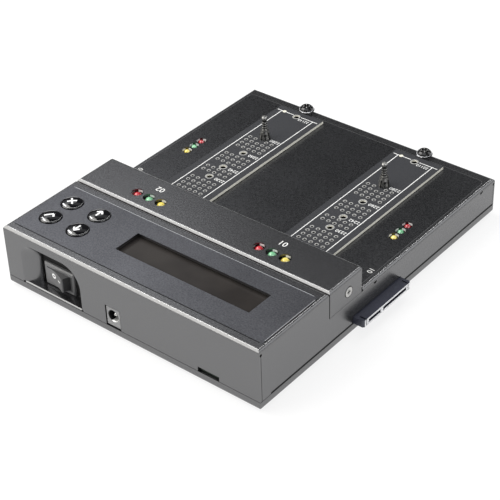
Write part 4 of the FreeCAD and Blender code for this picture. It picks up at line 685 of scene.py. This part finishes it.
# ---------------------------------------------------------------- M.2 boards: print, rings and holes
CARD_LENGTHS = (30, 42, 60, 80, 110)
POST_LENGTH = 80               # the hold-down post stands in this length's hole
LAST_HOLE = 5.3                # the longest card's hole, from the board's end
CARD_HALF = 11.5               # printed card outline, each side of the board's middle
OUTLINE = 0.5
END_BAR = (2.8, 3.2)           # bar at the card's end: gap beside the hole, reach past the outline
HOLE_RADIUS = 1.75
VIA_COLUMNS = (-7.65, -3.7, 0.25, 4.2, 8.15)
VIA_ROWS = (13.3, 17.2, 21.1, 25.0, 34.4, 38.4, 46.9, 50.9, 54.9, 65.1, 68.9, 72.8, 76.5)   # from the socket
POST_CLEAR = 3.9               # no via this close to the post
PRINT = 0.035


def crescent(cx, cy, radius, bore, turn, count=20):
    """Ring of plating round a small via, wider on one side: the extra width is painted light, standing for
    the lit far wall of the hole.
    """
    shift = 0.22
    inner = circle(cx + shift * math.cos(turn), cy + shift * math.sin(turn), bore, count)
    return [circle(cx, cy, radius, count), inner]


def card_outline(x, top, cross):
    """Printed outline of a card: two long lines, and a bar at its end that leaves the hole free."""
    parts = []
    for side in (-1, 1):
        edge = x + side * CARD_HALF
        line = rectangle(edge - OUTLINE / 2, edge + OUTLINE / 2, cross, BRIDGE_LOW.y + 1.0)
        parts.append(flat_mesh([line], top, PRINT))
    gap, past = END_BAR
    for start, end in ((-CARD_HALF - past, -gap), (gap, CARD_HALF + past)):
        bar = rectangle(x + start, x + end, cross - OUTLINE / 2, cross + OUTLINE / 2)
        parts.append(flat_mesh([bar], top, PRINT * 1.1))
    return parts


def card_numbers(x, top, holes):
    """Plain card size beside each hole; the longest one stands clear of the end bar."""
    parts = []
    for length, y in holes.items():
        size, left, up = (3.0, 6.4, 1.7) if length == max(CARD_LENGTHS) else (3.4, 7.3, 0.0)
        parts.append(number_mesh("22%d" % length, size, top, PRINT, (x - left, y + up)))
    return parts


def board_details(name):
    node = "m2_board_" + name
    low, high = mm_box(node)
    x, top = middle_of(node).x, high.z
    socket = low.y + LAST_HOLE + max(CARD_LENGTHS)
    holes = {length: socket - length for length in CARD_LENGTHS}
    post = holes[POST_LENGTH]
    cross = holes[max(CARD_LENGTHS)] - 0.9
    parts = card_outline(x, top, cross) + card_numbers(x, top, holes)
    add_piece("board_print_" + name, joined(parts), SILK, "casing")
    rings, dots = [], []
    for setback in VIA_ROWS:
        y = socket - setback
        for column in VIA_COLUMNS:
            if math.hypot(column, y - post) < POST_CLEAR:
                continue
            rings.append(flat_mesh(crescent(x + column, y, 1.2, 0.72, math.radians(135)), top, PRINT))
            # Painted shade: a dark dot in the middle of each via.
            dots.append(flat_mesh([circle(x + column, y, 0.66, 14)], top, PRINT * 0.5))
    add_piece("board_rings_" + name, joined(rings), TINNED, "casing")
    add_piece("board_vias_" + name, joined(dots), PAINTED_SHADE, "casing")
    free = [y for length, y in holes.items() if length != POST_LENGTH]
    pads = [flat_mesh([circle(x, y, 2.45, 32), circle(x, y, HOLE_RADIUS + 0.03, 32)], top, PRINT)
            for y in free]
    add_piece("board_pads_" + name, joined(pads), TINNED, "casing")
    # Painted shade: dark floors deep in the free holes.
    floors = [flat_mesh([circle(x, y, HOLE_RADIUS - 0.05, 24)], low.z + 0.02, 0.05) for y in free]
    add_piece("board_hole_floors_" + name, joined(floors), PAINTED_SHADE, "casing")
    spot = flat_mesh([circle(x + 9.6, cross, 1.15, 20)], top, PRINT * 2)
    add_piece("board_tooling_spot_" + name, spot, CUT_EDGE, "casing")


for name in SIDES:
    board_details(name)


# ---------------------------------------------------------------- hold-down posts
def collet_window_shades():
    """Painted shade: a dark window and split line on the flanks of each collet, between its cross-cut slots.
    """
    for name in SIDES:
        node = "post_collet_" + name
        middle = middle_of(node)
        parts = []
        for azimuth in (math.radians(135), math.radians(-45)):
            place = from_side(node, middle.x, middle.y, azimuth)
            for start, end, width in ((0.4, 2.6, 0.7), (2.55, 3.9, 1.5)):
                line = [(0.0, BOARD_TOP + start), (0.0, BOARD_TOP + end)]
                parts.append(ribbon(line, width, place, 0.03))
        add_piece("collet_window_shades_" + name, joined(parts), PAINTED_SHADE, "casing")


collet_window_shades()


# ---------------------------------------------------------------- lamps
def islands(work):
    """Groups of joined vertices, one for each separate solid."""
    seen = set()
    for seed in work.verts:
        if seed in seen:
            continue
        seen.add(seed)
        group = [seed]
        for vertex in group:
            for edge in vertex.link_edges:
                other = edge.other_vert(vertex)
                if other not in seen:
                    seen.add(other)
                    group.append(other)
        yield group


def lamp_places():
    """Middle and top of every lamp, read from the lamp nodes' separate solids."""
    found = []
    for colour in ("red", "green", "amber"):
        work = bmesh.new()
        work.from_mesh(NODES["leds_" + colour].data)
        bmesh.ops.remove_doubles(work, verts=work.verts, dist=0.00001)
        for group in islands(work):
            low = Vector([min(vertex.co[i] for vertex in group) for i in range(3)]) / MM
            high = Vector([max(vertex.co[i] for vertex in group) for i in range(3)]) / MM
            found.append(((low + high) / 2, high.z))
        work.free()
    return found


LAMPS = lamp_places()
DECK_LAMPS = [middle for middle, top in LAMPS if top < DECK_Z + 4]
BRIDGE_LAMPS = [middle for middle, top in LAMPS if top >= DECK_Z + 4]
DECK_WELL = 2.9
BRIDGE_WELL = 3.35


def arc_mesh(cx, cy, outer, inner, z0, z1, start, end, count=8):
    """Upright closed piece of a thin tube between two bearings in degrees, in mm."""
    work = bmesh.new()
    rows = []
    for step in range(count + 1):
        turn = math.radians(start + (end - start) * step / count)
        row = []
        for radius, z in ((outer, z0), (outer, z1), (inner, z1), (inner, z0)):
            spot = Vector((cx + radius * math.cos(turn), cy + radius * math.sin(turn), z))
            row.append(work.verts.new(spot * MM))
        rows.append(row)
    for one, two in zip(rows, rows[1:]):
        join_rows(work, one, two, ((0, 1), (1, 2), (2, 3), (3, 0)))
    for row in (rows[0], rows[-1]):
        work.faces.new(row)
    return finished(work, "arc")


def lamp_well_highlights():
    """Painted highlights: short white arcs just inside the lamp holes, below the surface, on the lit sides
    only.
    """
    deck = [arc_mesh(middle.x, middle.y, DECK_WELL - 0.03, DECK_WELL - 0.12, DECK_Z - 1.6, DECK_Z - 0.3,
                     bearing - 26, bearing + 26)
            for middle in DECK_LAMPS for bearing in (-5, -95)]
    bridge = [arc_mesh(middle.x, middle.y, BRIDGE_WELL - 0.03, BRIDGE_WELL - 0.12, TOP_Z - 1.9, TOP_Z - 0.6,
                       -108, -58)
              for middle in BRIDGE_LAMPS]
    add_piece("lamp_wells_deck", joined(deck), LAMP_WELL_HIGHLIGHT, "casing")
    add_piece("lamp_wells_bridge", joined(bridge), LAMP_WELL_HIGHLIGHT, "casing")


lamp_well_highlights()


# ---------------------------------------------------------------- deck label with its cut-outs
FILM = 0.1
LABEL_CORNER = 3.5


def label_outline(edge_x, front, rear, inset):
    """The deck label's outline, drawn inset from its edge."""
    return rounded(-edge_x + inset, edge_x - inset, front + inset, rear - inset, LABEL_CORNER - inset)


def deck_label():
    edge_x = COVER_HIGH.x - 3.0
    front = COVER_LOW.y + 6.3
    rear = BRIDGE_LOW.y + 0.9
    loops = [label_outline(edge_x, front, rear, 0.0)]
    for name in SIDES:
        low, high = mm_box("m2_pad_" + name)
        loops.append(rectangle(low.x - 0.4, high.x + 0.4, low.y - 0.4, rear - 0.5))
    loops += [circle(middle.x, middle.y, DECK_WELL + 0.02, 32) for middle in DECK_LAMPS]
    add_piece("deck_label", flat_mesh(loops, DECK_Z, FILM), DECK_PRINT, "casing")
    rim = [label_outline(edge_x, front, rear, inset) for inset in (0.1, 0.3)]
    add_piece("deck_label_rim", flat_mesh(rim, DECK_Z + FILM, 0.01), DECK_RIM, "casing")


deck_label()


# ---------------------------------------------------------------- panel film: painted highlight on its rim and painted shade line
def film_edges():
    """Painted highlight along two cut edges of the panel film, and a painted shade line on the case beyond
    its rear and side edges.
    """
    low, high = OVERLAY_LOW, OVERLAY_HIGH
    rim, shade_width, clear = 0.22, 0.35, 0.02
    front = low.y + 0.1
    left = low.x + 0.1
    parts = [flat_mesh([rectangle(low.x + 2.2, high.x - 2.2, front, front + rim)], high.z, 0.015),
             flat_mesh([rectangle(left, left + rim, low.y + 2.2, high.y - 2.2)], high.z, 0.015)]
    add_piece("panel_film_rim_highlight", joined(parts), PALE_HIGHLIGHT, "casing")
    rear = high.y + clear
    side = low.x - clear
    parts = [flat_mesh([rectangle(low.x + 1.5, high.x - 1.5, rear, rear + shade_width)], TOP_Z, 0.02),
             flat_mesh([rectangle(side - shade_width, side, low.y + 1.5, high.y - 1.5)], TOP_Z, 0.02)]
    add_piece("panel_edge_shade_line", joined(parts), PAINTED_SHADE, "casing")


film_edges()


# ---------------------------------------------------------------- painted shade in the switch recess
def recess_arch(low, middle, back):
    """Upper edge of the recess's flat back, found by probing the cover from behind."""
    tree = surface("upper_cover")
    flatness, step_x, step_z = 0.06, 0.5, 0.1
    arch = []
    x = middle.x - 20.0
    while x <= middle.x + 13.5:
        best = None
        z = low.z + 0.3
        while z < BRIDGE_HIGH.z - 6.6:
            hit = tree.ray_cast(Vector((x, 130.0, z)) * MM, Vector((0, -1, 0)))[0]
            if hit is not None and abs(hit.y / MM - back) < flatness:
                best = z
            z += step_z
        if best is not None and best > low.z + 1.0:
            arch.append((x, best - 0.05))
        x += step_x
    return arch


def recess_shade_plate():
    """Dark sheet of painted shade over the flat back of the recess, round the switch bezel, and a painted
    shade strip on the bezel.
    """
    low, high = mm_box("switch_housing")
    back = high.y - 1.8
    arch = recess_arch(low, middle_of("switch_housing"), back)
    floor_z = low.z + 0.15
    gap = 0.08
    left, right = low.x - gap, high.x + gap
    loop = [(arch[0][0], floor_z), (left, floor_z), (left, high.z + gap), (right, high.z + gap),
            (right, floor_z), (arch[-1][0], floor_z)] + arch[::-1]
    add_piece("recess_shade_plate", upright_mesh([loop], back + 0.01, 0.06), PAINTED_SHADE, "casing")
    # Painted shade: a dark strip on the bezel's face beside the rocker.
    strip = rectangle(low.x + 1.0, low.x + 2.3, low.z + 2.2, high.z - 1.9)
    shade = upright_mesh([strip], high.y + 0.01, 0.03)
    add_piece("bezel_shade", shade, BLACK_PLASTIC_AND_SHADE, "casing")


recess_shade_plate()


# ---------------------------------------------------------------- small openings in the walls
def lance_slots():
    """Painted shade for short slots under the deck's bends, two on each side wall."""
    length = 2.6
    starts = (COVER_LOW.y + 12.6, BRIDGE_LOW.y - 11.9)
    parts = [side_plate(y, y + length, DECK_Z - 2.35, DECK_Z - 1.55, COVER_HIGH.x, 0.03, sign)
             for sign in (-1, 1) for y in starts]
    add_piece("lance_slots", joined(parts), PAINTED_SHADE, "casing")


lance_slots()


def vent_shadows():
    """Darkness behind the vent line of both side walls, broken at the receptacles."""
    tray_top = mm_box("base_tray")[1].z
    parts = []
    for name, sign in SIDES.items():
        low, high = mm_box("sata_receptacle_" + name)
        for y0, y1 in ((COVER_LOW.y + 0.95, low.y - 0.5), (high.y + 0.5, COVER_HIGH.y - 8.2)):
            parts.append(side_plate(y0, y1, tray_top + 0.02, tray_top + 1.35, COVER_HIGH.x - 0.08, 0.1, sign))
    add_piece("vent_shadows", joined(parts), PAINTED_SHADE, "casing")


vent_shadows()


def bridge_screw_details():
    """Painted shade in the cross recess, and a painted shadow ring, of the two countersunk screws."""
    low, high = mm_box("bridge_screws")
    middle = middle_of("bridge_screws")
    radius = (high.z - low.z) / 2
    crosses, rings = [], []
    for sign in (-1, 1):
        for turn in (math.radians(20), math.radians(110)):
            dy, dz = 1.35 * math.cos(turn), 1.35 * math.sin(turn)
            bar = [(middle.y - dy, middle.z - dz), (middle.y + dy, middle.z + dz)]
            crosses.append(ribbon(bar, 0.62, flat_wall(high.x - 0.05, sign)))
        ring = circle(middle.y, middle.z, radius + 0.12, 28)
        rings.append(ribbon(ring, 0.3, from_wall("bridge_cover", sign), 0.03, closed=True))
    add_piece("bridge_screw_crosses", joined(crosses), PAINTED_SHADE, "casing")
    add_piece("bridge_screw_rings", joined(rings), PAINTED_SHADE, "casing")


def end_screw_details():
    """Painted highlights on the edges of the cross recess and of the head of the two screws on the deck."""
    low, high = mm_box("end_screws")
    place = from_above("end_screws")
    cy = middle_of("end_screws").y
    radius = (high.y - low.y) / 2
    glints, rims = [], []
    for sign in (-1, 1):
        cx = sign * (high.x - radius)
        for bearing in (215, 35, 305, 125):
            ux, uy = math.cos(math.radians(bearing)), math.sin(math.radians(bearing))
            bar = [(cx + reach * ux, cy + reach * uy) for reach in (0.5, 2.1)]
            glints.append(ribbon(bar, 0.42, place, 0.03))
        rims.append(ribbon(circle(cx, cy, radius - 0.45, 36), 0.2, place, 0.03, closed=True))
    add_piece("end_screw_glints", joined(glints), DIM_PRINT_AND_GLINT, "casing")
    add_piece("end_screw_rim_highlights", joined(rims), PALE_HIGHLIGHT, "casing")


bridge_screw_details()
end_screw_details()


# ---------------------------------------------------------------- plain numbers in place of words
def numbers():
    """01 on the source side and 02 on the target side, on the bridge and turned along the deck's edge."""
    texts = {"source": "01", "target": "02"}
    parts = [number_mesh(texts[name], 5.4, TOP_Z, PRINT,
                         (middle_of("m2_board_" + name).x, BRIDGE_LOW.y + 8.6)) for name in SIDES]
    add_piece("bridge_numbers", joined(parts), SILK, "casing")
    edge, y = COVER_HIGH.x - 5.55, BRIDGE_LOW.y - 14.8
    parts = [number_mesh(texts[name], 4.4, DECK_Z + FILM, PRINT, (sign * edge, y), sign * math.pi / 2)
             for name, sign in SIDES.items()]
    add_piece("deck_numbers", joined(parts), DIM_PRINT_AND_GLINT, "casing")


numbers()


# ---------------------------------------------------------------- light, floor and camera
def visible_share(tree):
    """1 for rays that show a surface directly or in a mirror, 0 for rays that carry its light."""
    path = tree.nodes.new("ShaderNodeLightPath")
    total = path.outputs["Is Camera Ray"]
    for name in ("Is Glossy Ray", "Is Transmission Ray"):
        node = tree.nodes.new("ShaderNodeMath")
        node.operation = "MAXIMUM"
        tree.links.new(total, node.inputs[0])
        tree.links.new(path.outputs[name], node.inputs[1])
        total = node.outputs["Value"]
    return total


def stage():
    world = bpy.data.worlds.new("studio")
    bpy.context.scene.world = world
    world.use_nodes = True
    tree = world.node_tree
    room = tree.nodes["Background"]
    room.inputs["Color"].default_value = (0.96, 0.98, 1.0, 1.0)
    room.inputs["Strength"].default_value = 0.06
    white = tree.nodes.new("ShaderNodeBackground")
    white.inputs["Color"].default_value = (1.0, 1.0, 1.0, 1.0)
    white.inputs["Strength"].default_value = 1.0
    path = tree.nodes.new("ShaderNodeLightPath")
    mix = tree.nodes.new("ShaderNodeMixShader")
    tree.links.new(path.outputs["Is Camera Ray"], mix.inputs["Fac"])
    tree.links.new(room.outputs[0], mix.inputs[1])
    tree.links.new(white.outputs[0], mix.inputs[2])
    tree.links.new(mix.outputs[0], tree.nodes["World Output"].inputs["Surface"])

    floor_mesh = bpy.data.meshes.new("floor")
    corners = [(x, y, -0.0002) for x, y in rectangle(-3.0, 3.0, -3.0, 3.0)]
    floor_mesh.from_pydata(corners, [], [(0, 1, 2, 3)])
    floor = bpy.data.objects.new("floor", floor_mesh)
    bpy.context.scene.collection.objects.link(floor)
    look = bpy.data.materials.new("floor_paper")
    look.use_nodes = True
    tree = look.node_tree
    tree.nodes.remove(tree.nodes["Principled BSDF"])
    paper = tree.nodes.new("ShaderNodeBsdfDiffuse")
    paper.inputs["Color"].default_value = (0.95, 0.95, 0.95, 1.0)
    glow = tree.nodes.new("ShaderNodeEmission")
    glow.inputs["Color"].default_value = (1.0, 1.0, 1.0, 1.0)
    glow.inputs["Strength"].default_value = 1.0
    share = tree.nodes.new("ShaderNodeMath")
    share.operation = "MULTIPLY"
    share.inputs[1].default_value = 0.80
    tree.links.new(visible_share(tree), share.inputs[0])
    mix = tree.nodes.new("ShaderNodeMixShader")
    tree.links.new(share.outputs["Value"], mix.inputs["Fac"])
    tree.links.new(paper.outputs[0], mix.inputs[1])
    tree.links.new(glow.outputs[0], mix.inputs[2])
    tree.links.new(mix.outputs[0], tree.nodes["Material Output"].inputs["Surface"])
    floor_mesh.materials.append(look)


def softbox(name, size, radiance, tint=(1.0, 1.0, 1.0)):
    """Rectangular lamp of even radiance, itself unseen."""
    lamp = bpy.data.lights.new(name, "AREA")
    lamp.shape = "RECTANGLE"
    lamp.size, lamp.size_y = size
    lamp.energy = radiance * math.pi * size[0] * size[1]
    lamp.color = tint
    holder = bpy.data.objects.new(name, lamp)
    holder.visible_camera = False
    bpy.context.scene.collection.objects.link(holder)
    return holder


def area_light(name, direction, size, radiance, distance=1.3, level=True, tint=(0.975, 0.985, 1.0)):
    """Softbox facing the object; level keeps its lower edge level, otherwise it leans along the Y bends."""
    holder = softbox(name, size, radiance, tint)
    aim = Vector(direction).normalized()
    if level:
        holder.rotation_euler = aim.to_track_quat("Z", "Y").to_euler()
    else:
        along = (Vector((1, 0, 0)) - aim * aim.x).normalized()
        holder.rotation_euler = Matrix((along, aim.cross(along), aim)).transposed().to_euler()
    holder.location = aim * distance


def ceiling_tube(name, start, end, radiance):
    """Slim lamp lying flat above the object, between two (x, y) places in metres."""
    height, width = 1.1, 0.07
    start, end = Vector((*start, height)), Vector((*end, height))
    holder = softbox(name, ((end - start).length, width), radiance)
    holder.location = (start + end) / 2
    holder.rotation_euler = (0.0, 0.0, math.atan2(end.y - start.y, end.x - start.x))


def camera():
    """Long lens from behind the source side, looking down on the power wall."""
    azimuth, elevation, roll = (math.radians(v) for v in (220.106, 35.793, -2.033))
    distance = 0.82292
    shift_x, shift_y, rise = 0.00424, 0.002543, 0.0013
    back = Vector((math.sin(azimuth) * math.cos(elevation), -math.cos(azimuth) * math.cos(elevation),
                   math.sin(elevation)))
    right = (-back).cross(Vector((0, 0, 1))).normalized()
    up = right.cross(-back)
    turned_right = right * math.cos(roll) + up * math.sin(roll)
    turned_up = up * math.cos(roll) - right * math.sin(roll)
    spot = back * distance - turned_right * shift_x - turned_up * shift_y + Vector((0, 0, rise))
    data = bpy.data.cameras.new("camera")
    data.lens = 107.69
    data.sensor_width = 36.0
    data.clip_start = 0.02
    holder = bpy.data.objects.new("camera", data)
    bpy.context.scene.collection.objects.link(holder)
    frame_matrix = Matrix((turned_right, turned_up, back)).transposed().to_4x4()
    holder.matrix_world = Matrix.Translation(spot) @ frame_matrix
    bpy.context.scene.camera = holder


stage()
area_light("key_box", (0.60, 0.46, 0.66), (1.0, 2.2), 3.9, level=False, tint=(1.0, 0.985, 0.945))
area_light("overhead_box", (-0.15, 0.20, 1.0), (0.9, 0.9), 0.9)
area_light("top_left_box", (0.66, -0.42, 0.68), (0.5, 0.30), 1.05)
area_light("top_low_box", (0.75, -0.38, 0.54), (0.5, 0.50), 0.22)
area_light("top_far_box", (0.40, -0.48, 0.78), (0.6, 0.30), 0.3)
area_light("front_box", (-0.12, 0.66, 0.45), (1.6, 0.30), 1.3)
area_light("rim_box", (-0.60, -0.62, 0.42), (0.9, 0.9), 1.5)
area_light("fill_box", (-0.95, 0.25, 0.50), (1.0, 0.8), 2.6)
area_light("far_card", (0.50, -0.85, 0.10), (1.6, 0.30), 1.0, distance=1.4)
ceiling_tube("tube_middle", (-0.17, -0.41), (0.42, 0.08), 15.0)
ceiling_tube("tube_left", (0.44, 0.06), (1.68, -0.56), 15.0)
ceiling_tube("tube_right", (-0.15, -0.43), (0.27, -1.74), 15.0)
camera()
bpy.context.scene.view_settings.view_transform = "Standard"
